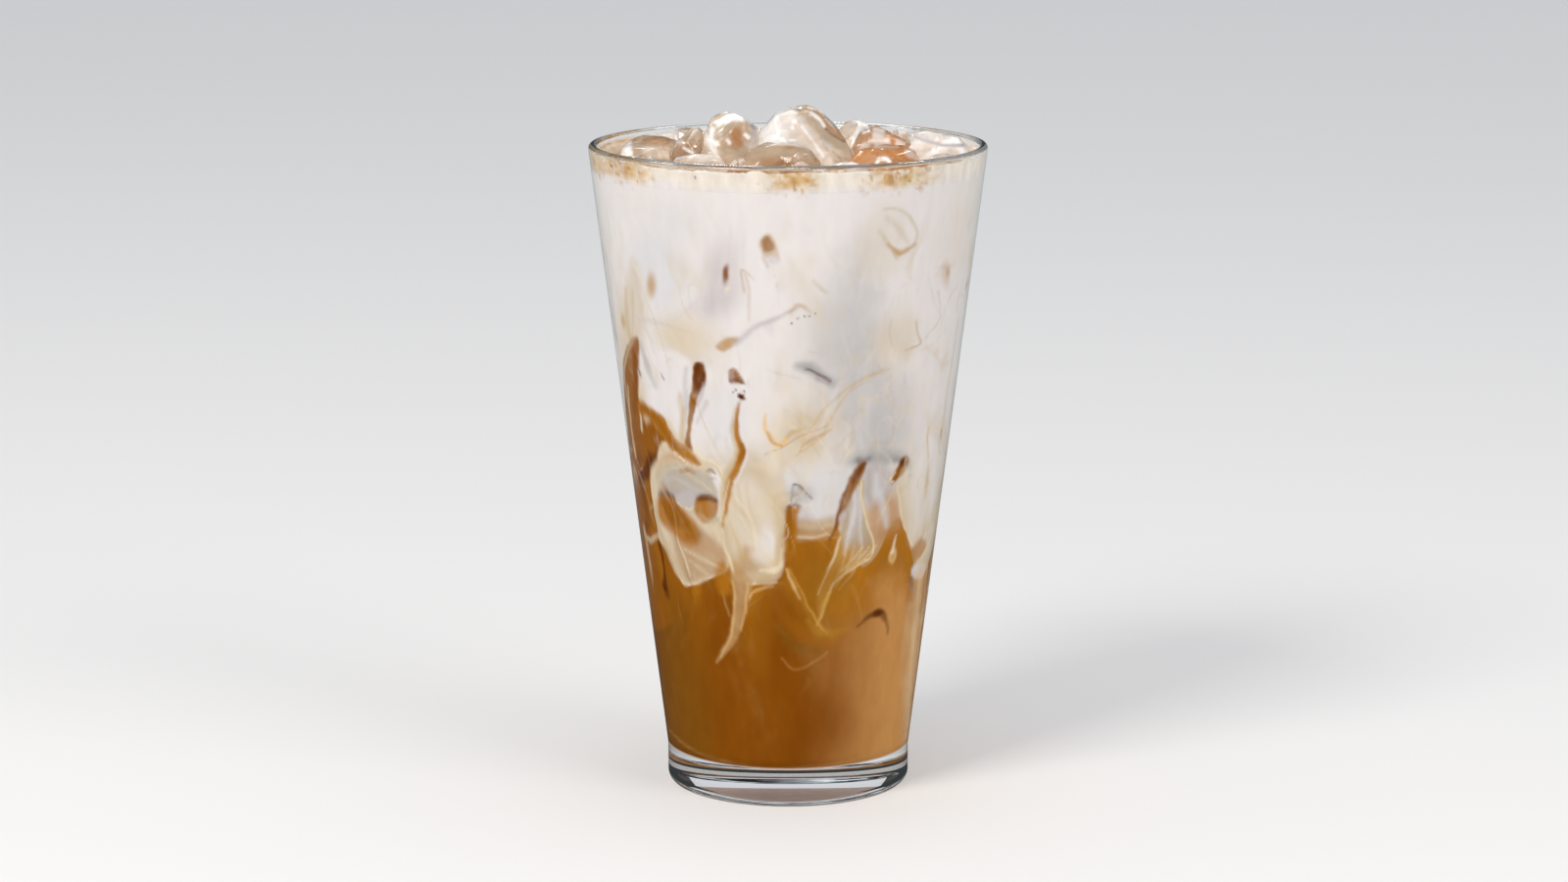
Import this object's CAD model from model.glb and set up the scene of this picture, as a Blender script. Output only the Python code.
import math

import bpy
import numpy as np
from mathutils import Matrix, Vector


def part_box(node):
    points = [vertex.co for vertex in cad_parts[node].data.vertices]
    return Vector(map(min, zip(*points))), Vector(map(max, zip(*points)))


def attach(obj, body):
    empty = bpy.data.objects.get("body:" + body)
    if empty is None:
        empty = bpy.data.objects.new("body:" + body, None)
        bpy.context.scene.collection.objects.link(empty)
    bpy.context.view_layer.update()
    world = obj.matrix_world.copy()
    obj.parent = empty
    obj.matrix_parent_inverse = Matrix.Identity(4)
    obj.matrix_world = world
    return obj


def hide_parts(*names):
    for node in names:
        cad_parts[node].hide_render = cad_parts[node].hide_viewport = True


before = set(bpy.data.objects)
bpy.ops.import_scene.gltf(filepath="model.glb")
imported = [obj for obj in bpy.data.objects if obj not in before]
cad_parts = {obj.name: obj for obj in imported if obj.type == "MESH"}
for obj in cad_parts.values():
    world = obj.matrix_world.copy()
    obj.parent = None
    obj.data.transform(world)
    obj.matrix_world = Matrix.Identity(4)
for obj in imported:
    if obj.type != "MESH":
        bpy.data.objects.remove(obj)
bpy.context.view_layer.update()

# Sizes of the glass and the drink in millimetres, as in the part
MM = 0.001
GLASS_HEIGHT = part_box("glass")[1].z / MM
RIM_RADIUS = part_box("glass")[1].x / MM
FOOT_RADIUS = 27.4
FOOT_CORNER = 2.5
SHAM_HEIGHT = 8.5
WALL_AT_RIM = 2.0
WALL_AT_FLOOR = 2.9
FLOOR_CORNER = 3.0
PUNT_RADIUS = 19.5
PUNT_DEPTH = 1.4
MEETING_LEVEL = 66
MEETING_CENTRE_LEVEL = 62
LOBE_REACH = 1.6
MILK_TOP = 139.2
MILK_TOP_RADIUS = 37
FROTH_TOP = 141.2
FROTH_EDGE = 141.0
FROTH_COLLAR_TOP = 144.9
FROTH_COLLAR_WIDTH = 1.3
# Each lobe of milk: its middle and half its width in degrees, and its drop in mm
LOBES = (
    (-68, 18, -32), (-43, 12, 16), (-15, 14, 14), (6, 9, -5), (32, 16, 11), (70, 26, 17),
    (112, 18, -14), (146, 20, 16), (184, 18, -12), (218, 18, 18), (256, 20, 9),
)
ICE_NODES = sorted(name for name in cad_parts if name.startswith("ice_"))
# How far the drink reaches into the glass's wall in mm, so that no air gap shows
INTO_WALL = 0.15

# How finely the drink's side is divided, so that its pattern is sharp
FRONT_ANGLE = 200
FRONT_STEPS = 350
BACK_STEPS = 210
COFFEE_ROWS = 140
MILK_ROWS = 152


def outer_radius(z):
    climb = (z - SHAM_HEIGHT) / (GLASS_HEIGHT - WALL_AT_RIM / 2 - SHAM_HEIGHT)
    return FOOT_RADIUS + (RIM_RADIUS - FOOT_RADIUS) * np.maximum(0, climb)


def inner_radius(z):
    climb = (z - SHAM_HEIGHT) / (GLASS_HEIGHT - SHAM_HEIGHT)
    return outer_radius(z) - WALL_AT_FLOOR + (WALL_AT_FLOOR - WALL_AT_RIM) * climb


def radius_of(points):
    return np.hypot(points[:, 0], points[:, 1])


def angle_of(points):
    """Degrees round the glass's axis, 0 at the front and growing to the right."""
    return np.degrees(np.arctan2(points[:, 0], -points[:, 1]))


def meeting_level(angle, share=1):
    """The height where the milk meets the coffee, at an angle and a share of the way to the wall."""
    level = np.full(np.shape(angle), float(MEETING_LEVEL))
    for middle, half, drop in LOBES:
        off = ((angle - middle + 540) % 360 - 180) / half
        level = level - np.where(abs(off) < 1, drop * np.cos(off * math.pi / 2) ** 2, 0)
    return MEETING_CENTRE_LEVEL + (level - MEETING_CENTRE_LEVEL) * share**LOBE_REACH


def arc(middle_r, middle_z, radius, start, end, steps):
    turns = [math.radians(start + (end - start) * i / steps) for i in range(steps + 1)]
    return [(middle_r + radius * math.cos(a), middle_z + radius * math.sin(a)) for a in turns]


# Modelling by hand: what every piece starts and ends with
def deselect():
    if bpy.context.object and bpy.context.object.mode == "EDIT":
        bpy.ops.object.mode_set(mode="OBJECT")
    bpy.ops.object.select_all(action="DESELECT")


def pick(piece):
    """Makes a piece the only one that is selected and worked on."""
    deselect()
    piece.select_set(True)
    bpy.context.view_layer.objects.active = piece


def edit_all():
    """Starts to edit the piece that is worked on, with all of it selected."""
    bpy.ops.object.mode_set(mode="EDIT")
    bpy.ops.mesh.select_all(action="SELECT")


def stop_editing():
    bpy.ops.object.mode_set(mode="OBJECT")


def settle():
    """Moves the picked pieces' places, turns and sizes into their points."""
    bpy.ops.object.transform_apply(location=True, rotation=True, scale=True)


def join(pieces):
    deselect()
    for piece in pieces:
        piece.select_set(True)
    bpy.context.view_layer.objects.active = pieces[0]
    bpy.ops.object.join()
    return pieces[0]


def cut_face(place, normal):
    """Cuts off what lies beyond a plane and closes the cut."""
    edit_all()
    bpy.ops.mesh.bisect(plane_co=place, plane_no=normal, use_fill=True, clear_outer=True)
    stop_editing()


def draw_profile(name, points):
    """A chain of edges in the XZ plane: one corner, extruded from point to point, in mm."""
    deselect()
    bpy.ops.mesh.primitive_plane_add(size=MM, location=(points[0][0] * MM, 0, points[0][1] * MM))
    piece = bpy.context.object
    piece.name = name
    piece.data.name = name
    settle()
    edit_all()
    bpy.ops.mesh.merge(type="CENTER")
    for (r0, z0), (r1, z1) in zip(points, points[1:]):
        step = ((r1 - r0) * MM, 0, (z1 - z0) * MM)
        bpy.ops.mesh.extrude_region_move(TRANSFORM_OT_translate={"value": step})
    bpy.ops.mesh.select_all(action="SELECT")
    return piece


def spin_round(piece, turns):
    """Spins a drawn chain about the glass's axis, by an angle and steps at a time, and closes it."""
    stop_editing()
    piece.rotation_euler.z = -math.pi / 2 + math.radians(turns[0][0]) / 2
    settle()
    edit_all()
    for angle, steps in turns:
        bpy.ops.mesh.spin(steps=steps, angle=math.radians(angle), center=(0, 0, 0), axis=(0, 0, 1))
    bpy.ops.mesh.select_all(action="SELECT")
    bpy.ops.mesh.remove_doubles(threshold=0.004 * MM)
    bpy.ops.mesh.normals_make_consistent(inside=False)
    stop_editing()


def add_rows(piece, start, end, cuts):
    """Divides the edges that join two rings, each given as a radius and height in mm, into even rows."""
    deselect()
    points = points_of(piece)
    radius = radius_of(points)
    near = [np.hypot(radius - r, points[:, 2] - z) < 0.02 for r, z in (start, end)]
    edges = np.empty(len(piece.data.edges) * 2, int)
    piece.data.edges.foreach_get("vertices", edges)
    a, b = edges.reshape(-1, 2).T
    joins = (near[0][a] & near[1][b]) | (near[1][a] & near[0][b])
    bpy.ops.object.mode_set(mode="EDIT")
    bpy.ops.mesh.select_mode(type="EDGE")
    bpy.ops.mesh.select_all(action="DESELECT")
    stop_editing()
    piece.data.edges.foreach_set("select", joins)
    bpy.ops.object.mode_set(mode="EDIT")
    bpy.ops.mesh.subdivide_edgering(number_cuts=cuts, interpolation="LINEAR")
    bpy.ops.mesh.select_mode(type="VERT")
    stop_editing()


def finish_piece(piece, node, material, angle=40):
    pick(piece)
    bpy.ops.object.shade_smooth_by_angle(angle=math.radians(angle))
    piece.data.materials.clear()
    piece.data.materials.append(material)
    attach(piece, "root")
    if node:
        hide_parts(node)
    return piece


def points_of(piece):
    co = np.empty(len(piece.data.vertices) * 3)
    piece.data.vertices.foreach_get("co", co)
    return co.reshape(-1, 3) / MM


def set_points(piece, points):
    piece.data.vertices.foreach_set("co", (points * MM).ravel())
    piece.data.update()


def set_colour(piece, name, colours):
    layer = piece.data.attributes.new(name, "FLOAT_COLOR", "POINT")
    rgba = np.concatenate([colours, np.ones((len(colours), 1))], axis=1)
    layer.data.foreach_set("color", rgba.ravel())


def set_amount(piece, name, amounts):
    layer = piece.data.attributes.new(name, "FLOAT", "POINT")
    layer.data.foreach_set("value", amounts)


# Smooth seeded noise on arrays of points
HASH_FACTORS = np.array([374761393, 668265263, 1274126177])


def lattice_noise(points, size, seed):
    """Noise from -1 to 1 that changes over a size in mm, the same for the same seed."""
    p = points / size + seed * 17.31
    cell = np.floor(p).astype(np.int64)
    f = p - cell
    f = f * f * (3 - 2 * f)
    total = np.zeros(len(p))
    for corner in range(8):
        o = np.array([corner & 1, corner >> 1 & 1, corner >> 2 & 1])
        h = ((cell + o) @ HASH_FACTORS + seed * HASH_FACTORS[2]) & 0xFFFFFFFF
        h = ((h ^ h >> 13) * HASH_FACTORS[1]) & 0xFFFFFFFF
        value = ((h ^ h >> 16) & 0xFFFF) / 32767.5 - 1
        weight = np.prod(np.where(o, f, 1 - f), axis=1)
        total += value * weight
    return total


def layered_noise(points, size, seed, layers=3):
    total = sum(lattice_noise(points, size / 2**i, seed + i) / 2**i for i in range(layers))
    return total / (2 - 2 ** (1 - layers))


def smooth(low, high, value):
    t = np.clip((value - low) / (high - low), 0, 1)
    return t * t * (3 - 2 * t)


# Painting the drink's side
VEIL_GRAIN = 0.35
FINE_GRAIN = 0.16
LEAST_RADIUS = 25
FAR = 1e9
TINY = 1e-9


def to_line(x, z, start, end):
    """Each place's nearest point on a line, from 0 at its start to 1 at its end, and the way to it."""
    dx, dz = end[0] - start[0], end[1] - start[1]
    t = np.clip(((x - start[0]) * dx + (z - start[1]) * dz) / (dx * dx + dz * dz + TINY), 0, 1)
    return t, np.hypot(x - start[0] - t * dx, z - start[1] - t * dz)


class Painting:
    """Colours on a piece's points, painted in layers. A place is an angle in degrees, 0 at the front and
    growing to the right, and a height in mm; widths and softness are in mm."""

    def __init__(self, points, wander=0.0, seed=1):
        self.angle = angle_of(points)
        self.radius = np.maximum(radius_of(points), 1)
        self.z = points[:, 2].copy()
        if wander:
            across = layered_noise(points, 7, seed, 2) + 0.55 * layered_noise(points, 1.8, seed + 3, 2)
            across = across * wander
            self.angle = self.angle + np.degrees(across / self.radius)
            rise = layered_noise(points, 8, seed + 5, 2) + 0.55 * layered_noise(points, 2.2, seed + 7, 2)
            self.z = self.z + rise * wander
        streaks = layered_noise(points * [1, 1, 0.4], 3.2, seed + 20, 4)
        fine = layered_noise(points * [1, 1, 0.45], 0.9, seed + 25, 2)
        self.thin = 1 - VEIL_GRAIN * smooth(-0.1, 0.8, streaks) - FINE_GRAIN * smooth(0, 0.8, fine)
        self.ragged = 1 + 0.45 * layered_noise(points, 2.6, seed + 30, 2)
        self.colours = np.zeros((len(points), 3))

    def fill(self, colour, amount=1.0):
        amount = np.broadcast_to(amount, self.z.shape)[:, None]
        self.colours += (np.array(colour) - self.colours) * amount

    def blend(self, index, colour, amount):
        self.colours[index] += (np.array(colour) - self.colours[index]) * amount[:, None]

    def near(self, places, reach):
        """The points near some places, with their place across in mm and their height."""
        angles = np.array([p[0] for p in places])
        heights = np.array([p[1] for p in places])
        middle = (angles.min() + angles.max()) / 2
        off = (self.angle - middle + 180) % 360 - 180
        half = (angles.max() - angles.min()) / 2 + np.degrees(reach / LEAST_RADIUS)
        close = (abs(off) < half) & (self.z > heights.min() - reach) & (self.z < heights.max() + reach)
        index = np.nonzero(close)[0]
        mm_per_degree = np.radians(1) * self.radius[index]
        return index, off[index] * mm_per_degree, self.z[index], middle, mm_per_degree

    def stroke(self, places, widths, colour, strength=1.0, soft=0.5, fade=0.0):
        """A line through places, as wide as widths say along it, that can fade over a share at its end."""
        reach = max(widths) + 2 * soft
        index, across, z, middle, scale = self.near(places, reach)
        if not len(index):
            return
        path = smooth_path([(a, h, w) for (a, h), w in zip(places, spread(widths, len(places)))])
        best = np.zeros(len(index))
        length = len(path) - 1
        for i in range(length):
            a0, z0, w0 = path[i]
            a1, z1, w1 = path[i + 1]
            t, away = to_line(across, z, ((a0 - middle) * scale, z0), ((a1 - middle) * scale, z1))
            alpha = 1 - smooth(-soft, soft, away - (w0 + (w1 - w0) * t) / 2 * self.ragged[index])
            if fade:
                alpha = alpha * smooth(0, fade, 1 - (i + t) / length)
            best = np.maximum(best, alpha)
        self.blend(index, colour, best * self.thin[index] * strength)

    def depth_in(self, places, reach):
        """How far inside a closed outline each near point lies, in mm; outside is negative."""
        index, across, z, middle, scale = self.near(places, reach)
        path = smooth_path(places, closed=True)
        distance = np.full(len(index), FAR)
        inside = np.zeros(len(index), bool)
        for (a0, z0), (a1, z1) in zip(path, path[1:]):
            x0, x1 = (a0 - middle) * scale, (a1 - middle) * scale
            distance = np.minimum(distance, to_line(across, z, (x0, z0), (x1, z1))[1])
            crosses = (z0 > z) != (z1 > z)
            inside ^= crosses & (across < x0 + (z - z0) / ((z1 - z0) or TINY) * (x1 - x0))
        return index, np.where(inside, distance, -distance)

    def area(self, places, colour, strength=1.0, soft=0.5, edge=None, edge_width=0.5, fade=None):
        """A smooth closed area, with a thin line of another colour along its edge if one is given. It fades
        out between two heights if they are given."""
        index, depth = self.depth_in(places, 2 * soft + edge_width + 0.5)
        there = strength * self.thin[index]
        if fade:
            there = there * (1 - smooth(fade[0], fade[1], self.z[index]))
        self.blend(index, colour, smooth(-soft, soft, depth) * there)
        if edge is not None:
            self.blend(index, edge, (1 - smooth(0, edge_width, abs(depth))) * there)

    def spot(self, place, size, colour, strength=1.0, soft=0.5, tilt=0):
        """An oval spot: its size is its width and height, and a tilt in degrees leans its top left."""
        reach = max(size) / 2 + 2 * soft
        index, across, z = self.near([place], reach)[:3]
        up = z - place[1]
        lean = math.radians(tilt)
        a = (across * math.cos(lean) + up * math.sin(lean)) / (size[0] / 2)
        b = (up * math.cos(lean) - across * math.sin(lean)) / (size[1] / 2)
        edge = soft / (min(size) / 2)
        self.blend(index, colour, (1 - smooth(1 - edge, 1 + edge, np.hypot(a, b))) * strength)


def spread(values, count):
    """A few values stretched evenly over a count of places."""
    return np.interp(np.linspace(0, 1, count), np.linspace(0, 1, len(values)), values)


def smooth_path(path, closed=False, steps=5):
    """A smooth line through every point of a path."""
    p = [np.array(v, float) for v in path]
    ends = ([p[-1]] + p + [p[0], p[1]]) if closed else ([p[0]] + p + [p[-1]])
    out = []
    for a, b, c, d in zip(ends, ends[1:], ends[2:], ends[3:]):
        for i in range(steps):
            t = i / steps
            out.append(b + 0.5 * t * (c - a + t * (2 * a - 5 * b + 4 * c - d + t * (3 * (b - c) + d - a))))
    return out + [p[0] if closed else p[-1]]


def seen(red, green, blue):
    """A colour as the eye sees it in this light, 0 to 255, made a surface colour."""
    value = np.array([red, green, blue]) / 255
    return np.where(value <= 0.04045, value / 12.92, ((value + 0.055) / 1.055) ** 2.4)


# Colours of the drink
MILK = seen(228, 220, 217)
MILK_COOL = seen(216, 212, 213)
MILK_SHADE = seen(188, 184, 185)
MILK_WARM = seen(213, 194, 167)
CREAM = seen(196, 174, 142)
CREAM_LINE = seen(232, 214, 184)
CREAM_YELLOW = seen(198, 170, 124)
TAN = seen(184, 138, 78)
AMBER_LIGHT = seen(170, 108, 24)
AMBER = seen(142, 84, 12)
AMBER_DEEP = seen(122, 63, 2)
BROWN_DARK = seen(84, 34, 4)
VIOLET_SHADE = seen(170, 156, 160)
PINK_TAN = seen(188, 138, 98)
GREY_SHADE = seen(158, 156, 154)
COFFEE_LEFT = seen(122, 75, 12)
COFFEE_RIGHT = seen(196, 140, 80)
COFFEE_OLIVE = seen(150, 98, 22)
GOLD = seen(226, 186, 124)
VEIL = seen(184, 140, 72)
VEIL_LINE = seen(232, 210, 168)
WEB_GOLD = seen(196, 144, 60)
WEB_BROWN = seen(160, 108, 40)
SWIRL_GOLD = seen(206, 158, 72)
SWIRL_AMBER = seen(168, 116, 34)
SWIRL_OLIVE = seen(120, 84, 24)
ARCH_BROWN = seen(104, 58, 20)
THREAD_GOLD = seen(206, 156, 84)
TENDRIL = seen(184, 142, 92)
LILAC = seen(192, 182, 180)
SMOKY_WHITE = seen(176, 166, 152)
VEIL_BEIGE = seen(182, 148, 112)
SMOKE = seen(104, 90, 88)
WALL_CREAM = seen(222, 188, 146)
UNDERSIDE = seen(236, 214, 204)
FROTH_PALE = seen(234, 222, 208)
FROTH_TAN = seen(212, 178, 128)
FROTH_GOLD = seen(184, 130, 62)
FROTH_BEIGE = seen(228, 206, 180)
FROTH_CARAMEL = seen(204, 156, 108)


def paint_milk_and_coffee(side, points):
    """The ground that the rest is painted on: milk, coffee, and a soft cream border between them."""
    level = meeting_level(side.angle)
    wave = layered_noise(points, 9, 11) * 1.6 + layered_noise(points, 3.4, 12) * 0.5
    above = side.z - level - wave
    cloud = layered_noise(points * [1, 1, 0.7], 36, 21)
    side.fill(MILK)
    side.fill(MILK_COOL, smooth(0, 0.7, cloud))
    side.fill(MILK_WARM, 0.5 * smooth(0, 0.8, -cloud))
    side.fill(MILK_WARM, 0.75 * (1 - smooth(5, 24, above)))
    side.fill(CREAM, 0.6 * (1 - smooth(0, 8, above)))
    coffee = 1 - smooth(-0.5, 0.5, above)
    side.fill(AMBER_LIGHT, coffee)
    side.fill(AMBER, coffee * smooth(0, 9, -above))
    low = coffee * smooth(0, 30, -above)
    turn = np.radians(side.angle)
    side.fill(AMBER_DEEP, low * 0.8 * smooth(0.2, 0.9, np.cos(turn - 0.15)))
    side.fill(COFFEE_LEFT, low * smooth(0.35, 0.95, -np.sin(turn + 0.1)))
    side.fill(COFFEE_RIGHT, coffee * smooth(0, 16, -above) * smooth(0.0, 1.0, np.sin(turn)))
    swirl = layered_noise(points * [1, 1, 0.45], 15, 31, 4)
    side.fill(AMBER_LIGHT, coffee * 0.35 * smooth(0.1, 0.8, swirl))
    side.fill(AMBER_DEEP, coffee * 0.25 * smooth(0.1, 0.8, -swirl))


def vein(points, size, seed, width):
    """Thin wandering lines: 1 along each line, falling to 0 beside it."""
    drift = np.stack([layered_noise(points, size * 1.4, seed + i, 2) for i in range(3)], axis=1)
    return 1 - smooth(0, width, abs(lattice_noise(points + drift * size * 0.8, size, seed + 9)))


def paint_veins(side, points):
    """Fine cream and tan threads in patches where the milk is drawn out into the coffee."""
    level = meeting_level(side.angle)
    above = side.z - level
    patch = smooth(-0.1, 0.5, layered_noise(points, 14, 41, 2))
    near_milk = smooth(-1, 3, above) * (1 - smooth(16, 34, above))
    near_coffee = smooth(-16, -4, above) * (1 - smooth(-3, 2, above))
    slanted = points * [1, 1, 0.7]
    side.fill(CREAM_YELLOW, 0.4 * near_milk * patch * vein(slanted, 7, 43, 0.10))
    side.fill(TAN, 0.35 * near_milk * patch * vein(slanted, 11, 47, 0.05))
    side.fill(CREAM_LINE, 0.5 * near_milk * vein(slanted, 9, 53, 0.06))
    side.fill(TENDRIL, 0.45 * near_coffee * patch * vein(points * [1, 1, 0.5], 6, 57, 0.12))
    side.fill(GOLD, 0.35 * near_coffee * vein(points * [1, 1, 0.5], 10, 59, 0.04))


# Places along the rim where the froth is golden: a middle angle, half a width, and how golden
GOLD_PATCHES = (
    (-78, 24, 0.95), (-52, 14, 0.65), (-25, 20, -0.6), (0, 8, 0.9), (14, 6, -0.4), (34, 13, 1),
    (62, 18, -0.4), (110, 16, 0.7), (150, 20, 0.5), (190, 14, 0.9), (235, 20, 0.6),
)


def paint_froth_band(side, points):
    """Golden froth and pale bubbles where the drink clings to the glass under the rim."""
    low = FROTH_EDGE + 0.4 + 1.1 * layered_noise(points * [1, 1, 0], 6, 75, 3)
    band = smooth(-1.6, 1.2, side.z - low)
    wide = 0.5 * layered_noise(points * [1, 1, 0.6], 15, 71)
    for middle, half, gold in GOLD_PATCHES:
        wide = wide + gold * np.exp(-(((side.angle - middle) / half) ** 2))
    fine = layered_noise(points * [1, 1, 1.4], 1.7, 72)
    crinkle = vein(points * [1, 1, 0.5], 3, 78, 0.25)
    side.fill(FROTH_PALE, band)
    side.fill(FROTH_TAN, band * smooth(0, 0.9, wide + 0.6 * fine))
    side.fill(FROTH_GOLD, band * 0.85 * smooth(0.6, 1.5, wide + 0.9 * fine + 0.3 * crinkle))
    side.fill(FROTH_PALE, 0.8 * band * smooth(0.25, 0.6, layered_noise(points, 2.2, 73)))
    side.fill(FROTH_PALE, 0.5 * band * crinkle)
    speck = smooth(0.4, 0.65, lattice_noise(points, 0.9, 76)) * smooth(-3, 0, side.z - low)
    side.fill(FROTH_GOLD, 0.75 * speck * smooth(0, 0.8, wide))
    dark = smooth(0.72, 0.85, lattice_noise(points, 1.3, 77)) * smooth(0.5, 2, side.z - low)
    side.fill(BROWN_DARK, 0.75 * dark)


def paint_milk_shades(side):
    """Soft greys, violets and creams in the upper milk, where sunk ice shows through."""
    side.stroke([(22, 126), (22, 112), (26, 95), (30, 82)], (5, 9, 13, 13), GREY_SHADE, 0.5, 7)
    side.spot((17, 106), (16, 26), MILK_SHADE, 0.55, 7)
    side.spot((36, 88), (18, 18), MILK_SHADE, 0.5, 7)
    side.spot((-44, 122), (17, 16), MILK_COOL, 0.9, 4)
    side.spot((-21, 121), (8, 15), VIOLET_SHADE, 0.45, 3.5, -12)
    side.spot((-24, 115), (9, 5), VIOLET_SHADE, 0.35, 3, 20)
    side.spot((-36, 133), (14, 8), MILK_COOL, 0.6, 4)
    side.spot((38, 107), (12, 12), MILK_WARM, 0.5, 4)
    side.spot((30, 129), (12, 16), MILK_WARM, 0.35, 4)
    side.spot((-36, 107), (15, 9), MILK_WARM, 0.8, 4)
    side.spot((-24, 90), (10, 12), MILK_COOL, 0.5, 3.5)
    side.spot((-41, 97), (10, 12), MILK_COOL, 0.5, 3.5)
    side.spot((-12, 79), (13, 9), CREAM, 0.75, 3.5)
    side.spot((5, 88), (12, 9), CREAM, 0.55, 4, 30)
    side.stroke([(78, 124), (86, 104), (87, 60), (88, 40)], (3, 3.5, 4, 4), MILK_WARM, 0.8, 2.2)
    side.stroke([(73, 107), (72, 92), (71, 74)], (1, 1.4, 1), CREAM_YELLOW, 0.4, 1)
    side.stroke([(-84, 137), (-86, 121), (-80, 104)], (2, 3, 3), CREAM, 0.5, 1.5)
    side.stroke([(-77, 122), (-78, 107), (-79, 97)], (1.5, 2.5, 1.5), VIOLET_SHADE, 0.35, 1.2)


def paint_left_pocket(side):
    """The tall amber pocket at the left, with the pale band above it and the milk block beside it."""
    side.area([(-55, 123), (-64, 114), (-66, 104), (-56, 105), (-52, 112)], CREAM, 0.5, 2.2)
    side.stroke([(-63, 116), (-65, 108), (-62, 103)], (1, 1.8, 1.2), CREAM_YELLOW, 0.6, 0.9)
    side.stroke([(-56, 122), (-52, 118), (-53, 111)], (0.3,), CREAM_LINE, 0.9, 0.3)
    side.stroke([(-58, 116), (-62, 105)], (0.5,), CREAM, 0.7, 0.5)
    side.spot((-48, 118), (2.6, 5), TAN, 0.75, 1, -12)
    side.spot((-68, 108), (2, 3), TAN, 0.6, 0.8)
    pocket = [(-77, 94), (-72, 100), (-61, 105), (-58, 104), (-62, 94), (-62, 86), (-52, 88), (-45, 84)]
    ground = [(-34, 77), (-40, 72), (-46, 58), (-45, 45), (-82, 36), (-90, 54), (-86, 74)]
    side.area(pocket + ground, AMBER, 1, 0.5)
    side.stroke([(-62, 104), (-68, 101), (-75, 95), (-74, 85)], (0.6, 0.8, 1, 0.6), CREAM, 0.75, 0.4)
    side.stroke([(-72, 93), (-75, 84), (-74, 78)], (0.8, 1.1, 1.8), CREAM_YELLOW, 0.8, 0.4)
    side.stroke([(-76, 80), (-74, 77)], (0.5, 0.9), CREAM_LINE, 0.7, 0.3)
    side.stroke([(-61, 95), (-63, 90), (-64, 84)], (0.4, 0.6, 0.9), CREAM_LINE, 0.8, 0.3)
    side.stroke([(-61, 103), (-63, 97), (-68, 88)], (1.2, 2, 1.6), AMBER_DEEP, 0.6, 0.9)
    side.stroke([(-57, 104), (-55, 99), (-52, 95)], (1.4, 1.8, 1), GREY_SHADE, 0.5, 0.8)
    side.stroke([(-60, 87), (-54, 88), (-50, 88)], (1.2,), CREAM, 0.8, 0.6)
    side.area([(-48, 103), (-48, 92), (-45, 85), (-40, 82), (-37, 92), (-34, 102)], MILK, 0.9, 0.8)
    side.stroke([(-47, 87), (-44, 84), (-41, 82)], (2.4, 2.4, 1.6), MILK_WARM, 0.8, 0.7)
    side.stroke([(-40, 94), (-40, 83)], (1.2, 1.4), CREAM_YELLOW, 0.5, 0.7)
    side.spot((-60, 97), (0.9, 1.4), BROWN_DARK, 0.8, 0.3)
    side.spot((-61, 97), (0.5, 0.8), MILK, 0.9, 0.2)
    side.stroke([(-48, 98), (-47, 97)], (0.4,), BROWN_DARK, 0.6, 0.25)


def paint_left_shadows(side):
    """Dark marks and cream wisps in the amber at the left."""
    side.stroke([(-60, 78), (-66, 74), (-76, 71)], (2.2, 2.6, 1), BROWN_DARK, 0.85, 0.7)
    side.stroke([(-53, 81), (-57, 78), (-62, 76)], (1, 1.6, 1.8), BROWN_DARK, 0.8, 0.5)
    side.spot((-68, 74), (1.2, 2.2), BROWN_DARK, 0.8, 0.5)
    side.spot((-72, 61), (1.8, 2.6), BROWN_DARK, 0.6, 0.8)
    side.stroke([(-66, 71), (-66, 60), (-60, 46)], (1.6, 2.4, 1.2), AMBER_LIGHT, 0.4, 1)
    side.stroke([(-70, 77), (-71, 70), (-68, 62)], (3, 3.4, 2), BROWN_DARK, 0.45, 1.6)
    side.stroke([(-76, 60), (-75, 55), (-74, 44)], (1.6, 1.6, 0.5), CREAM, 0.75, 0.5, 0.4)
    side.stroke([(-77, 59), (-70, 58), (-62, 60)], (0.8, 1.4, 1), CREAM, 0.85, 0.4)
    side.stroke([(-62, 58), (-60, 53), (-61, 48)], (1.2, 0.9, 2), BROWN_DARK, 0.85, 0.4)
    side.spot((-60, 47), (2.2, 3.6), BROWN_DARK, 0.7, 0.6, 15)


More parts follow.
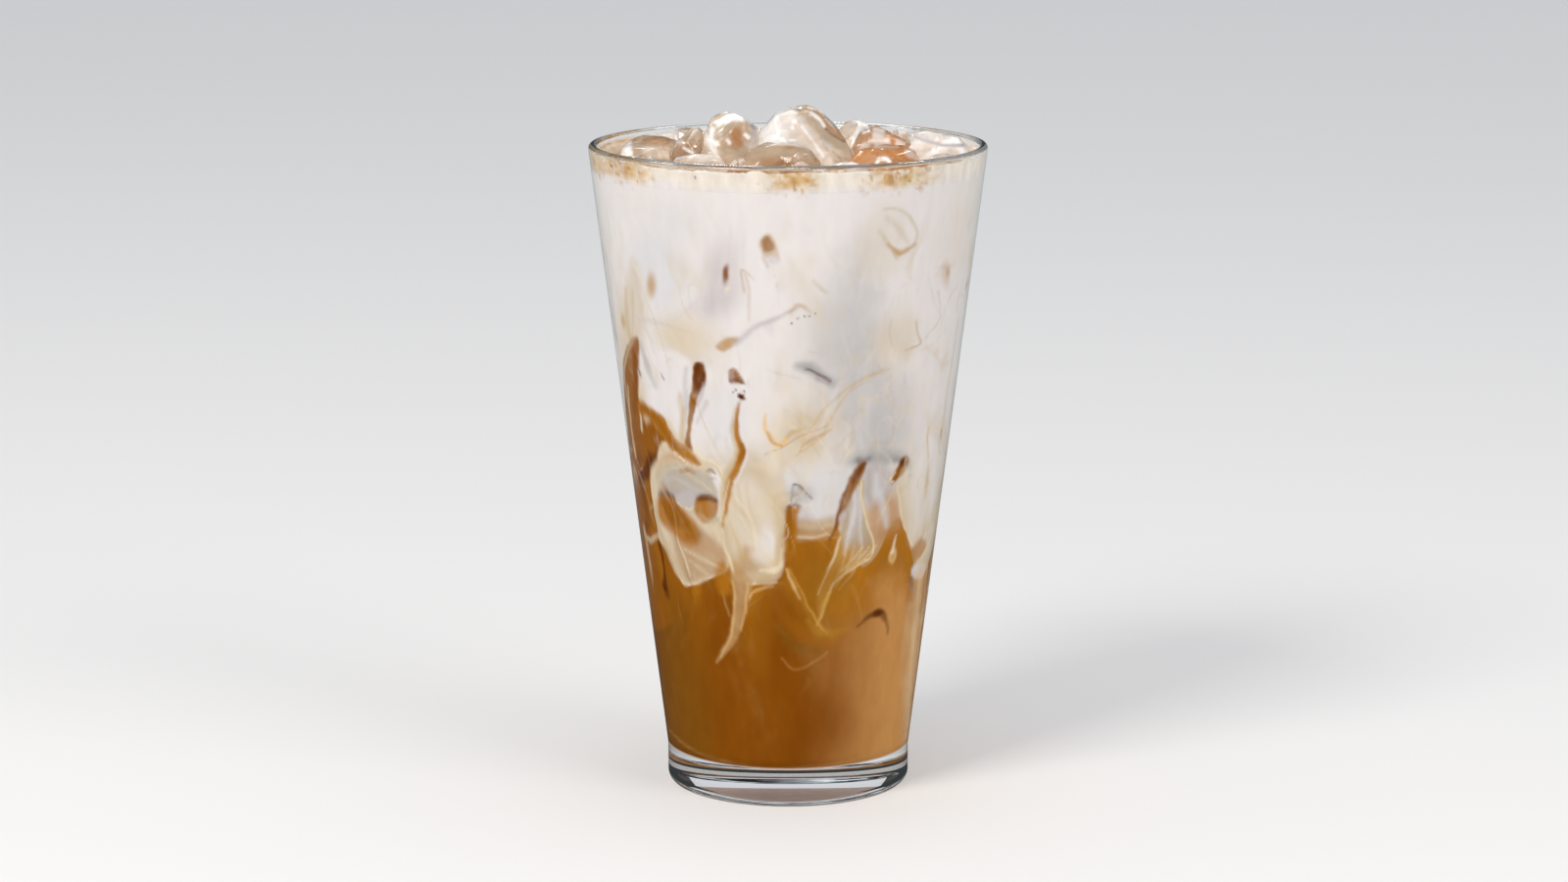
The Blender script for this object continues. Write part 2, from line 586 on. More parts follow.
def paint_upper_tendrils(side):
    """Amber drops that hang in the milk, each dark at its top and thin towards its end."""
    side.stroke([(-36, 100), (-37, 95), (-39, 88)], (1, 1.4, 1), GREY_SHADE, 0.45, 0.9)
    path = [(-30, 101), (-31, 98), (-35, 92), (-38, 86), (-38, 81), (-35, 78)]
    side.stroke(path, (2.4, 3.2, 1.8, 1.2, 2.2, 2.8), AMBER, 1, 0.35)
    side.stroke([(-39, 91), (-41, 86), (-41, 81)], (0.9, 1.2, 1.4), CREAM_YELLOW, 0.7, 0.6)
    side.stroke([(-30, 101), (-31, 98), (-33, 94)], (2.2, 2.6, 1.2), BROWN_DARK, 0.8, 0.6, 0.3)
    side.stroke([(-29, 97), (-31, 94), (-33, 92)], (0.8, 0.8, 0.5), VIOLET_SHADE, 0.6, 0.4)
    side.stroke([(-29, 93), (-34, 88)], (1, 0.5), VIOLET_SHADE, 0.35, 0.6)
    side.area([(-19.6, 100.4), (-17.4, 100.8), (-14.2, 98.2), (-16, 97.4), (-19.4, 97.8)], AMBER, 1, 0.3)
    side.stroke([(-19.4, 98.2), (-17, 98.4), (-14.4, 98)], (0.5, 0.9, 0.5), BROWN_DARK, 0.7, 0.3)
    side.area([(-19.6, 97.4), (-15, 97.6), (-12.8, 96), (-16, 92.6), (-18.6, 94.4)], MILK, 1, 0.3)
    side.spot((-16, 95), (1.6, 1.3), BROWN_DARK, 1, 0.25)
    for dot in ((-18.5, 96), (-17.5, 96.5), (-14.5, 96)):
        side.spot(dot, (0.5, 0.5), BROWN_DARK, 0.8, 0.2)
    side.stroke([(-17.5, 93.5), (-18.5, 88), (-17.5, 85)], (1.1, 0.6, 1), AMBER_LIGHT, 0.9, 0.3)


def paint_upper_marks(side):
    """Small brown almonds, tails and spots where coffee shows in the upper milk."""
    side.area([(-8, 130), (-5, 131), (-2.5, 126), (-5, 125), (-8, 128)], TAN, 0.7, 0.4)
    side.area([(-7.5, 130), (-5.5, 130.5), (-4, 128), (-7, 127.5)], AMBER, 0.8, 0.4)
    side.spot((-5, 125.5), (3, 2), MILK_COOL, 0.8, 0.5)
    side.stroke([(-7, 126), (-6, 124)], (0.5,), TAN, 0.5, 0.3)
    side.spot((-19.5, 122), (1.5, 4.2), AMBER, 0.9, 0.4, -10)
    side.spot((-19.5, 122.5), (1.1, 2.6), BROWN_DARK, 0.45, 0.4, -10)
    side.stroke([(-19, 119), (-20, 118)], (0.8, 0.3), CREAM_LINE, 0.8, 0.3)
    side.spot((58.5, 119.5), (2.6, 5), PINK_TAN, 0.45, 1.3, 20)
    side.spot((59.5, 120), (1.2, 2), TAN, 0.6, 0.5, 20)
    side.spot((79, 115), (1.6, 2.6), PINK_TAN, 0.8, 0.5)
    side.area([(-24, 106), (-20, 108), (-16, 108), (-21, 105)], TAN, 0.85, 0.5)
    side.stroke([(-17, 107), (-11, 110), (-3, 113), (3, 115)], (1.4, 0.9, 0.7, 0.4), VIOLET_SHADE, 0.55, 0.6)
    side.stroke([(0.5, 114), (3, 115.5), (7, 114)], (0.6, 0.9, 0.5), TAN, 0.5, 0.4)
    for dot in ((1, 111.5), (3, 112.5), (5, 113), (6.5, 113), (8.5, 113.5)):
        side.spot(dot, (0.45, 0.45), BROWN_DARK, 0.75, 0.2)
    side.stroke([(3, 102), (8, 101), (15, 98)], (1.2, 2.4, 1.8), GREY_SHADE, 0.8, 1)
    side.stroke([(6, 101), (10, 100), (14, 98.5)], (0.3, 0.6, 0.8), BROWN_DARK, 0.75, 0.3)
    side.stroke([(9.5, 99), (13.5, 98)], (0.7, 1), VIOLET_SHADE, 0.8, 0.4)


def paint_upper_veins(side):
    """Thin cream and tan lines in the milk."""
    side.stroke([(-14, 118), (-14, 123), (-10, 121)], (0.35, 0.5, 0.2), TAN, 0.5, 0.3)
    side.stroke([(-13, 122), (-12, 118), (-12, 112)], (0.4, 0.4, 0.2), TAN, 0.4, 0.35)
    side.stroke([(8, 121), (10, 119), (12, 118)], (0.4, 0.9, 0.7), CREAM, 0.6, 0.5)
    side.stroke([(29, 136), (36, 135), (42, 130), (41, 127)], (0.4, 0.6, 0.6, 0.3), CREAM, 0.6, 0.5)
    side.stroke([(31, 128), (36, 126), (42, 127.5)], (0.5, 1.1, 0.4), TAN, 0.85, 0.45)
    side.stroke([(28, 131), (31, 128), (35, 125)], (0.5, 0.8, 0.5), CREAM, 0.6, 0.6)
    side.stroke([(30, 134), (35, 131), (39, 128)], (0.5, 1.4, 0.6), CREAM, 0.45, 0.8)
    side.stroke([(46, 110), (47, 107), (49, 105), (42, 104)], (0.35, 0.4, 0.5, 0.3), TAN, 0.55, 0.3)
    side.stroke([(35, 111), (35, 107), (38, 104)], (0.3,), CREAM, 0.5, 0.4)
    side.stroke([(55, 116), (58, 110), (51, 106)], (0.3,), CREAM, 0.6, 0.3)
    upper = [(36, 100), (28, 99), (21, 97), (14, 93), (8, 88)]
    side.stroke(upper, (0.3, 0.8, 0.5, 0.5, 0.3), CREAM_YELLOW, 0.75, 0.35)
    lower = [(28, 98), (21, 96), (15, 90), (11, 86), (3, 82)]
    side.stroke(lower, (0.3, 0.5, 0.6, 0.5, 0.3), CREAM_YELLOW, 0.7, 0.35)
    side.stroke([(16, 88), (7, 85), (4, 83)], (0.3, 0.7, 0.4), TAN, 0.55, 0.3)
    side.stroke([(-1, 85), (2, 87), (6, 88)], (0.6, 1, 0.5), CREAM_YELLOW, 0.8, 0.4)
    side.stroke([(-8, 91), (-8, 88), (-3, 84.5), (0, 85.5)], (0.4, 1, 1.4, 0.5), GOLD, 0.85, 0.5)
    side.stroke([(-7, 87), (-5, 85), (-2, 84)], (0.4, 0.7, 0.4), AMBER_LIGHT, 0.7, 0.35)
    side.stroke([(-8, 82), (-1, 84), (7, 87), (16, 89)], (0.3, 0.35, 0.35, 0.2), TAN, 0.5, 0.25)
    side.stroke([(-7, 101), (4, 99)], (0.25,), VIOLET_SHADE, 0.35, 0.3)
    side.stroke([(60, 85), (59, 80), (62, 73)], (0.5, 0.6, 0.4), CREAM_LINE, 0.8, 0.35)
    side.stroke([(60, 85), (68, 84), (80, 80), (85, 73)], (0.5, 0.5, 0.5, 0.3), CREAM_LINE, 0.7, 0.35)
    side.stroke([(71, 83), (72, 81)], (1.2, 0.8), SMOKE, 0.7, 0.4)


def paint_left_lobe(side):
    """The hooked milk lobe at the left, with its arch."""
    hook = [(-51, 82), (-56, 77.5), (-60.5, 75), (-62.5, 71), (-62, 64), (-60.5, 59), (-55, 57.5), (-49, 51)]
    foot = [(-44.5, 50), (-37, 51.5), (-31, 53.5), (-25, 56), (-23, 66), (-24, 77), (-32, 80), (-42, 82)]
    side.area(hook + foot, MILK_WARM, 1, 0.35, CREAM_LINE, 0.45)
    haze = [(-58, 73), (-51, 77), (-43, 78), (-32, 77), (-25, 74), (-26, 66), (-44, 68), (-56, 70)]
    side.area(haze, SMOKY_WHITE, 0.85, 1.2)
    side.stroke([(-55, 77.5), (-47, 79.5), (-41, 79), (-35, 78)], (0.7, 1.5, 1.4, 0.6), PINK_TAN, 0.6, 0.8)
    side.stroke([(-58, 72), (-55, 76), (-48, 78)], (1, 1.3, 0.6), CREAM, 0.8, 0.5)
    side.stroke([(-56, 73), (-50, 76), (-43, 77), (-36, 75), (-30, 73)], (0.4,), CREAM_LINE, 0.5, 0.3)
    side.stroke([(-52, 73.5), (-46, 74.5), (-38, 73), (-31, 72)], (0.8, 1.1, 1, 0.6), LILAC, 0.8, 0.5)
    crease = [(-53, 72), (-48.5, 71), (-43.5, 70.3), (-37, 71)]
    side.stroke(crease, (1, 1.8, 2.4, 1.4), VIOLET_SHADE, 0.6, 0.8)
    side.spot((-53, 71.8), (2.2, 1.6), PINK_TAN, 0.8, 0.6)
    side.stroke([(-43, 76.4), (-40, 76.8), (-36.5, 76.4)], (0.6, 0.9, 0.5), AMBER_LIGHT, 0.8, 0.35)


def paint_left_veil(side):
    """The folded veil in the left lobe, with its two amber pockets."""
    veil = [(-50, 63), (-38, 64), (-26, 60), (-26, 56), (-31, 53.5), (-44.5, 50.5), (-49, 53)]
    side.area(veil, VEIL_BEIGE, 0.9, 1.1)
    pocket = [(-57, 69), (-49, 70), (-45.5, 68), (-41, 66.5), (-37, 64), (-38, 60), (-45, 60), (-53, 62)]
    side.area(pocket + [(-59, 63.5), (-60, 66.5)], AMBER_LIGHT, 0.95, 1.1)
    side.area([(-57, 68.5), (-50, 69.5), (-45, 67.5), (-41, 65), (-44, 63), (-53, 64)], AMBER, 0.9, 1)
    side.spot((-40, 62.5), (5, 4), AMBER, 0.6, 1.4, 20)
    side.stroke([(-57, 69.6), (-51, 70.4), (-46.5, 68.8)], (0.9, 1.5, 0.8), BROWN_DARK, 0.75, 0.5)
    side.area([(-47, 70), (-46, 68.5), (-41, 68), (-36.5, 69), (-35.5, 71.5), (-42, 72)], LILAC, 0.75, 0.5)
    side.stroke([(-47, 69), (-44, 68), (-40, 68), (-36.5, 69), (-35.3, 71)], (0.35,), CREAM_LINE, 0.85, 0.25)
    second = [(-36, 70.8), (-31, 71.6), (-26.8, 70.8), (-27.6, 68.8), (-30.6, 66.2), (-35, 65.6), (-38, 67.8)]
    side.area(second, AMBER_LIGHT, 0.95, 0.45)
    side.stroke([(-35.6, 70.6), (-31.6, 71.4), (-27.2, 70.8)], (1.1, 1.9, 1.2), BROWN_DARK, 0.8, 0.45)
    side.stroke([(-36, 67), (-31, 66), (-28, 67)], (0.6, 1, 0.6), CREAM, 0.7, 0.6)
    side.stroke([(-28, 77), (-25, 73), (-27, 67.5)], (1.8, 2.4, 1), MILK, 0.9, 0.6)
    side.stroke([(-31, 77.3), (-29, 77.6), (-27.4, 77)], (0.3, 0.7, 0.3), SMOKE, 0.8, 0.25)
    side.stroke([(-29.5, 75.8), (-27.6, 75.9)], (0.5, 0.3), VIOLET_SHADE, 0.9, 0.25)


def paint_left_border(side):
    """The left lobe's lower border with its threads, and the amber slope above the lobe."""
    border = [(-61.5, 68), (-60.5, 61), (-54.5, 57), (-50.5, 53), (-46.5, 50.8)]
    side.stroke(border, (0.8, 1.5, 2.2, 2.4, 1.2), CREAM, 0.85, 0.6)
    side.stroke([(-50, 62), (-48, 59), (-46, 56.3), (-45, 52.6), (-43.5, 50.4)], (0.3,), SMOKE, 0.45, 0.3)
    fold = [(-48.5, 61), (-46.5, 58), (-44.6, 55), (-43.5, 52)]
    side.stroke(fold, (0.5, 0.7, 0.5, 0.3), CREAM_LINE, 0.6, 0.35)
    side.stroke([(-44.2, 58.6), (-36.2, 57), (-27, 55)], (0.3, 0.6, 0.3), CREAM_LINE, 0.65, 0.35)
    side.stroke([(-43, 56), (-38, 54.5), (-34, 53.2)], (0.3, 0.5, 0.3), CREAM_LINE, 0.5, 0.35)
    side.stroke([(-44, 53.5), (-41, 52.3), (-38, 52)], (0.3, 0.4, 0.2), CREAM, 0.6, 0.3)
    side.stroke([(-42, 60), (-36, 60), (-29, 58.5)], (1.4, 2.2, 1.2), PINK_TAN, 0.35, 1.2)
    slope = [(-62, 89), (-55, 88), (-50, 86), (-46, 83), (-41.5, 81.2), (-36.5, 79.4), (-33, 78.3)]
    side.stroke(slope, (3, 3.4, 3.6, 3, 2.8, 2.2, 0.6), AMBER_LIGHT, 1, 0.5)
    side.stroke(slope[:5], (1.6, 2, 1.6, 1), AMBER, 0.7, 0.7)
    under = [(-45, 80.7), (-42, 79.4), (-38.6, 78.2), (-34, 77.7), (-32.5, 78.3)]
    side.stroke(under, (0.4,), CREAM_LINE, 1, 0.2)


def paint_middle_lobe(side):
    """The large milk lobe in the middle."""
    top = [(-24, 77), (-18, 83), (-8, 86), (2, 86), (4, 77), (-1, 70)]
    right = [(-2, 65), (-2.5, 60.6), (-2.2, 56.8), (-3.6, 54.2), (-6.2, 53.2)]
    bottom = [(-12, 52.7), (-18, 52.3), (-23, 54), (-26, 60), (-26, 66)]
    side.area(top + right + bottom, CREAM, 0.9, 0.45, fade=(66, 80))
    inner_right = [(-23, 74), (-16, 78), (-6, 78), (-4, 70), (-3.5, 58)]
    inner_left = [(-6, 55), (-15, 54.5), (-22, 58), (-24, 66)]
    side.area(inner_right + inner_left, MILK_WARM, 0.9, 1.4, fade=(68, 82))
    side.area([(-22, 72), (-15, 76), (-8, 73), (-6, 64), (-9, 58), (-13, 59), (-20, 64)], MILK, 0.3, 2.4)
    for shift in (0, 3, 6.5):
        line = [(-22 + shift, 75), (-20 + shift, 70 - shift / 3), (-15 + shift, 66 - shift / 2)]
        side.stroke(line + [(-13 + shift, 60)], (0.3, 0.8, 0.6, 0.3), CREAM_YELLOW, 0.4, 0.6)
    side.spot((-9, 61.5), (4.4, 7.5), MILK, 0.65, 2, -8)
    side.stroke([(-12, 78), (-8, 74), (-5, 70)], (1.6, 2.4, 1.6), CREAM_YELLOW, 0.35, 1.6)
    side.stroke([(-20, 72), (-14, 67), (-12, 60)], (0.3, 0.5, 0.3), CREAM_LINE, 0.6, 0.35)
    side.stroke([(-23, 66), (-20, 61), (-19, 57)], (0.4, 0.7, 0.4), CREAM_YELLOW, 0.5, 0.5)
    side.stroke([(-9, 64.8), (-6.5, 63), (-6, 58.5)], (0.5, 1, 0.6), MILK, 0.7, 0.5)
    side.stroke([(-16, 60), (-18.5, 57), (-21.5, 54.5)], (2, 3.6, 3), TENDRIL, 0.75, 1.4)
    side.spot((-14.7, 56), (6, 3.2), VEIL_BEIGE, 0.75, 1.3)
    side.stroke([(-4.5, 68), (-4, 63), (-5, 57)], (0.9, 1.6, 1), CREAM_YELLOW, 0.45, 0.9)
    corner = [(-11, 55.6), (-6, 55.5), (-3.2, 56.8), (-2.8, 60.6)]
    side.stroke(corner, (0.4, 1.1, 0.9, 0.5), CREAM_LINE, 0.9, 0.35)
    side.stroke([(-22, 53.6), (-14, 53.6), (-6, 54.2)], (0.6, 1.1, 0.5), CREAM_YELLOW, 0.6, 0.5)
    side.stroke([(-18, 52.2), (-12, 52.4), (-5, 53)], (0.3, 0.4, 0.3), CREAM_LINE, 0.7, 0.25)
    side.stroke([(-1.6, 70), (-1.8, 64), (-2.2, 58)], (0.7, 0.9, 0.6), CREAM, 0.7, 0.5)
    left = [(-26, 64), (-25.5, 60), (-23.5, 56.5), (-22.5, 54)]
    side.stroke(left, (0.4, 0.6, 0.5, 0.4), CREAM_LINE, 0.6, 0.35)


def paint_middle_trail(side):
    """The tendril that trails from the middle lobe."""
    path = [(-19, 53), (-20, 48), (-22, 42), (-27, 37), (-33, 33)]
    side.stroke(path, (4.8, 3.6, 2.4, 1.6, 0.4), TENDRIL, 0.85, 0.45)
    side.stroke([(-19.5, 53), (-20.5, 48), (-22.5, 42)], (2, 1.6, 1), VEIL_BEIGE, 0.5, 0.8)
    side.stroke([(-23, 53), (-22.5, 48), (-24, 41), (-31, 34)], (0.35, 0.5, 0.4, 0.2), GOLD, 0.7, 0.3)
    side.stroke([(-17, 52), (-18, 46), (-20, 41)], (0.5, 0.4, 0.3), GOLD, 0.6, 0.3)
    side.stroke([(-16, 49), (-13, 51), (-6, 52)], (0.35, 0.4, 0.2), GOLD, 0.7, 0.3)
    side.stroke([(-28, 50), (-25, 44)], (0.4, 0.2), GOLD, 0.4, 0.4)
    side.area([(-31, 54), (-27, 57), (-24, 54), (-24, 50), (-29, 49)], AMBER_LIGHT, 0.85, 1)


def paint_middle_tendril(side):
    """The tendril that falls from the small dark drop to the left of the middle lobe."""
    path = [(-17.5, 92.6), (-18.9, 86.3), (-16.3, 82.7), (-18.2, 79), (-21.6, 76), (-23.8, 70.5), (-26, 65)]
    side.stroke([(a - 1, z) for a, z in path], (0.8, 1.4, 2.4, 2.8, 2.6, 2, 0.6), CREAM_YELLOW, 0.7, 0.5)
    side.stroke(path, (0.7, 0.9, 1.8, 1.8, 1.5, 1.2, 0.3), AMBER_LIGHT, 0.95, 0.35)
    side.stroke([(-17, 84.5), (-16.2, 82.5), (-17.5, 80)], (0.5, 1, 0.5), AMBER, 0.7, 0.35)
    side.stroke([(-15.2, 84), (-14.8, 82), (-17, 78.5), (-20, 75.5)], (0.3, 0.5, 0.5, 0.3), MILK, 0.9, 0.3)
    side.stroke([(-22, 76), (-24.6, 70.5), (-26.6, 66)], (0.3, 0.4, 0.3), CREAM_LINE, 0.8, 0.25)


def paint_fine_veins(side, points):
    """Fine threads over everything where the milk and the coffee meet, and faint ones higher up."""
    height = side.z
    coffee = smooth(36, 50, height) * (1 - smooth(58, 66, height))
    meeting = smooth(58, 66, height) * (1 - smooth(92, 112, height))
    milk = smooth(66, 74, height) * (1 - smooth(120, 139, height))
    patch = smooth(-0.2, 0.5, layered_noise(points, 12, 141, 2))
    other = smooth(-0.2, 0.5, layered_noise(points, 10, 151, 2))
    slanted = points @ np.array([[1, 0, 0.35], [0, 1, 0], [0.3, 0, 0.6]])
    side.fill(GOLD, 0.3 * coffee * patch * vein(slanted, 6, 145, 0.05))
    side.fill(CREAM_LINE, 0.4 * meeting * patch * vein(slanted, 5, 143, 0.07))
    side.fill(CREAM_YELLOW, 0.45 * meeting * other * vein(slanted, 6, 147, 0.06))
    side.fill(TAN, 0.3 * milk * other * vein(slanted, 8, 153, 0.035))
    side.fill(MILK, 0.3 * milk * other * vein(points * [1, 1, 0.45], 4, 157, 0.1))
    side.fill(MILK_WARM, 0.35 * milk * patch * vein(slanted, 10, 159, 0.12))
    side.fill(VIOLET_SHADE, 0.2 * milk * other * vein(points * [1, 1, 0.7], 13, 163, 0.03))


def paint_flow(side, points):
    """Long soft streaks, lighter and darker, that wander as poured milk does."""
    drift = np.stack([layered_noise(points, 16, 171 + i, 2) for i in range(3)], axis=1)
    warped = (points + drift * 9) * [1, 1, 0.3]
    streaks = layered_noise(warped, 2.2, 181, 3)
    broad = layered_noise(warped, 5.5, 191, 3)
    height = side.z
    milk = smooth(60, 72, height) * (1 - smooth(128, 140, height))
    coffee = smooth(10, 22, height) * (1 - smooth(52, 62, height))
    side.fill(MILK_WARM, 0.5 * milk * smooth(0.15, 0.75, broad))
    side.fill(MILK, 0.3 * milk * smooth(0.1, 0.7, -broad))
    side.fill(CREAM_LINE, 0.22 * milk * smooth(0.25, 0.8, streaks))
    side.fill(MILK_SHADE, 0.3 * milk * smooth(0.2, 0.8, -streaks))
    side.fill(TAN, 0.16 * coffee * smooth(0.2, 0.8, broad))
    side.fill(AMBER_DEEP, 0.16 * coffee * smooth(0.2, 0.8, -broad))
    side.fill(TAN, 0.1 * coffee * smooth(0.2, 0.8, streaks))


def paint_amber_column(side):
    """The amber column right of the middle, the smoky ball over it and the cream shelf beside it."""
    side.area([(-1, 64), (9, 63), (23, 63), (32, 50), (20, 38), (-1, 43)], AMBER_LIGHT, 0.4, 2)
    ball = [(0, 80), (1, 71), (4, 66), (18, 66), (21, 70), (25, 76), (26, 82)]
    side.area(ball, MILK_COOL, 0.85, 1.2, fade=(76, 84))
    side.area([(3, 67.5), (10, 67), (17.5, 67.5), (17, 63.5), (10, 62.9), (3.5, 63.2)], VEIL_BEIGE, 0.85, 1.2)
    side.stroke([(4, 66), (10, 65.6), (17, 66.2)], (1, 1.6, 1), CREAM, 0.7, 0.8)
    side.stroke([(3.5, 63.6), (9, 63.2), (15, 64)], (0.5, 0.7, 0.4), CREAM_LINE, 0.5, 0.45)
    side.area([(-0.3, 70), (4, 70.3), (3, 66.6), (2.4, 61.7), (-0.3, 58), (-1.5, 64)], AMBER_LIGHT, 0.95, 0.5)
    side.stroke([(0.5, 69), (0.3, 64), (0, 59)], (1.8, 1.6, 1), AMBER, 0.8, 0.7)
    side.stroke([(-0.3, 70.2), (2, 70.8), (4.4, 70.4)], (0.6, 1, 0.5), BROWN_DARK, 0.75, 0.4)
    side.spot((4.5, 73.2), (6, 4.4), MILK_SHADE, 0.8, 1)
    side.spot((2, 72.6), (2.4, 2.6), SMOKY_WHITE, 0.8, 0.6)
    side.stroke([(1.8, 75.4), (4, 75), (7, 73.3), (8.8, 72.1)], (0.3, 0.6, 0.5, 0.3), SMOKE, 0.75, 0.2)
    side.stroke([(3.6, 74.2), (6.5, 72.8)], (0.5, 0.4), VIOLET_SHADE, 0.7, 0.3)
    side.stroke([(0.6, 71.5), (1, 74), (2.4, 75.3)], (0.4, 0.3, 0.3), SMOKE, 0.45, 0.3)
    side.stroke([(4.6, 70.5), (7, 70.4), (8.4, 71)], (0.5, 0.3, 0.3), CREAM_LINE, 0.6, 0.3)


def paint_curtain(side):
    """The greys and soft tones round the thin milk curtain at the right."""
    grey = [(23, 80), (28, 80.5), (36, 79.5), (43.7, 79.5), (51, 77)]
    side.stroke(grey, (2, 2.6, 2.4, 2.4, 1.2), GREY_SHADE, 0.75, 1.6)
    side.stroke([(26, 80), (30, 80)], (1.4, 1), SMOKE, 0.65, 0.8)
    side.stroke([(42, 79), (47, 79), (51, 76.5)], (0.8, 1, 0.6), SMOKE, 0.4, 0.8)
    side.area([(28, 78), (40, 77), (44, 73), (39, 69), (32, 68), (27.5, 72)], LILAC, 0.9, 1.2)
    side.area([(31, 68.6), (43, 71), (47, 68.3), (50, 62.7), (43.5, 61), (33, 63)], PINK_TAN, 0.75, 2)
    side.area([(24, 62), (40, 63), (50, 64), (58, 57), (58, 50), (43, 45), (15, 46)], AMBER_LIGHT, 0.6, 2)
    side.stroke([(40, 65), (46, 64)], (2, 2.4), TENDRIL, 0.6, 1.4)


def paint_curtain_folds(side):
    """The curtain itself, with its folds and its bright hem."""
    right = [(24, 74), (28, 75), (29.5, 69), (32.5, 64.5), (36, 60.7), (34, 57.5), (27, 55.3)]
    left = [(20, 52.9), (14, 44), (12.5, 50), (16, 56), (20.5, 62.8), (21, 67.3)]
    side.area(right + left, VEIL, 0.8, 0.6)
    upper = [(23, 73.5), (27.5, 75), (29, 69), (32, 65), (34.5, 61), (27, 60.5), (21.5, 62), (21, 68)]
    side.area(upper, SMOKY_WHITE, 0.8, 0.9)
    side.area([(24, 72), (27.5, 73), (28.5, 67), (27, 63), (23, 64)], LILAC, 0.75, 1)
    side.area([(27, 61), (33, 62), (35, 59), (30, 57.5), (25, 57.5)], VEIL_BEIGE, 0.7, 1)
    side.stroke([(24.5, 74), (25.6, 69), (24.6, 64), (22.6, 59)], (0.4, 1, 1.2, 0.4), MILK, 0.6, 0.6)
    side.stroke([(26.5, 74), (27.8, 68.5), (29, 64), (30, 60)], (0.3, 0.8, 0.8, 0.3), MILK, 0.5, 0.6)
    side.stroke([(22.6, 70), (22.8, 66), (21.4, 61)], (0.4, 0.8, 0.4), VEIL_BEIGE, 0.6, 0.6)
    side.stroke([(34, 76), (35, 72), (39, 68), (41, 64)], (1, 2, 2, 0.8), MILK_COOL, 0.6, 1)
    side.stroke([(30, 77), (31, 73), (33, 69)], (0.8, 1.4, 0.6), SMOKY_WHITE, 0.7, 0.8)
    for shift in (0, 3.5, 7):
        line = [(30 + shift, 60), (26 + shift * 0.8, 57.4), (21 + shift * 0.6, 54.6)]
        side.stroke(line, (0.3, 0.5, 0.3), VEIL_LINE, 0.55, 0.3)
    edge = [(27.3, 75), (29.2, 68.7), (32.4, 64.5), (35.7, 60.7)]
    hem = [(34.4, 57.6), (26.6, 55.3), (20, 52.9), (17, 50)]
    side.stroke(edge + hem, (0.3, 0.5, 0.45, 0.5, 0.35, 0.4, 0.5, 0.3), VEIL_LINE, 0.9, 0.25)
    side.stroke([(17.8, 50.3), (14, 44.5)], (0.5, 0.4), GOLD, 0.7, 0.3)
    side.stroke([(20.8, 62.8), (16.5, 56.2), (12.7, 50)], (0.4, 0.5, 0.3), VEIL_LINE, 0.8, 0.25)
    for shift in (2.5, 5, 8):
        line = [(22 + shift, 62 - shift / 4), (19 + shift, 57 - shift / 3)]
        side.stroke(line + [(17 + shift / 2, 52.5 - shift / 4)], (0.25, 0.35, 0.2), GOLD, 0.6, 0.25)
    side.stroke([(43, 73.2), (38.3, 67.2)], (0.3, 0.2), CREAM_LINE, 0.75, 0.25)


def paint_dark_streak(side):
    """The dark streak in front of the curtain."""
    streak = [(28, 79), (25.7, 77), (23.6, 74.5), (21, 70.5), (19, 66.5), (16.5, 62.5)]
    side.stroke(streak, (1.6, 2.5, 2.3, 1.9, 1.3, 0.5), AMBER, 0.95, 0.4)
    side.stroke([(28.5, 79), (25.7, 77.2), (24, 75)], (1, 1.4, 0.6), BROWN_DARK, 0.65, 0.45)
    side.stroke([(22, 74.5), (20, 70), (18, 65)], (0.35, 0.4, 0.3), BROWN_DARK, 0.6, 0.3)
    side.stroke([(16.4, 63), (15.2, 58)], (1, 0.3), BROWN_DARK, 0.25, 0.9)
    side.spot((21, 67.5), (1.3, 2.4), LILAC, 0.85, 0.4, -20)


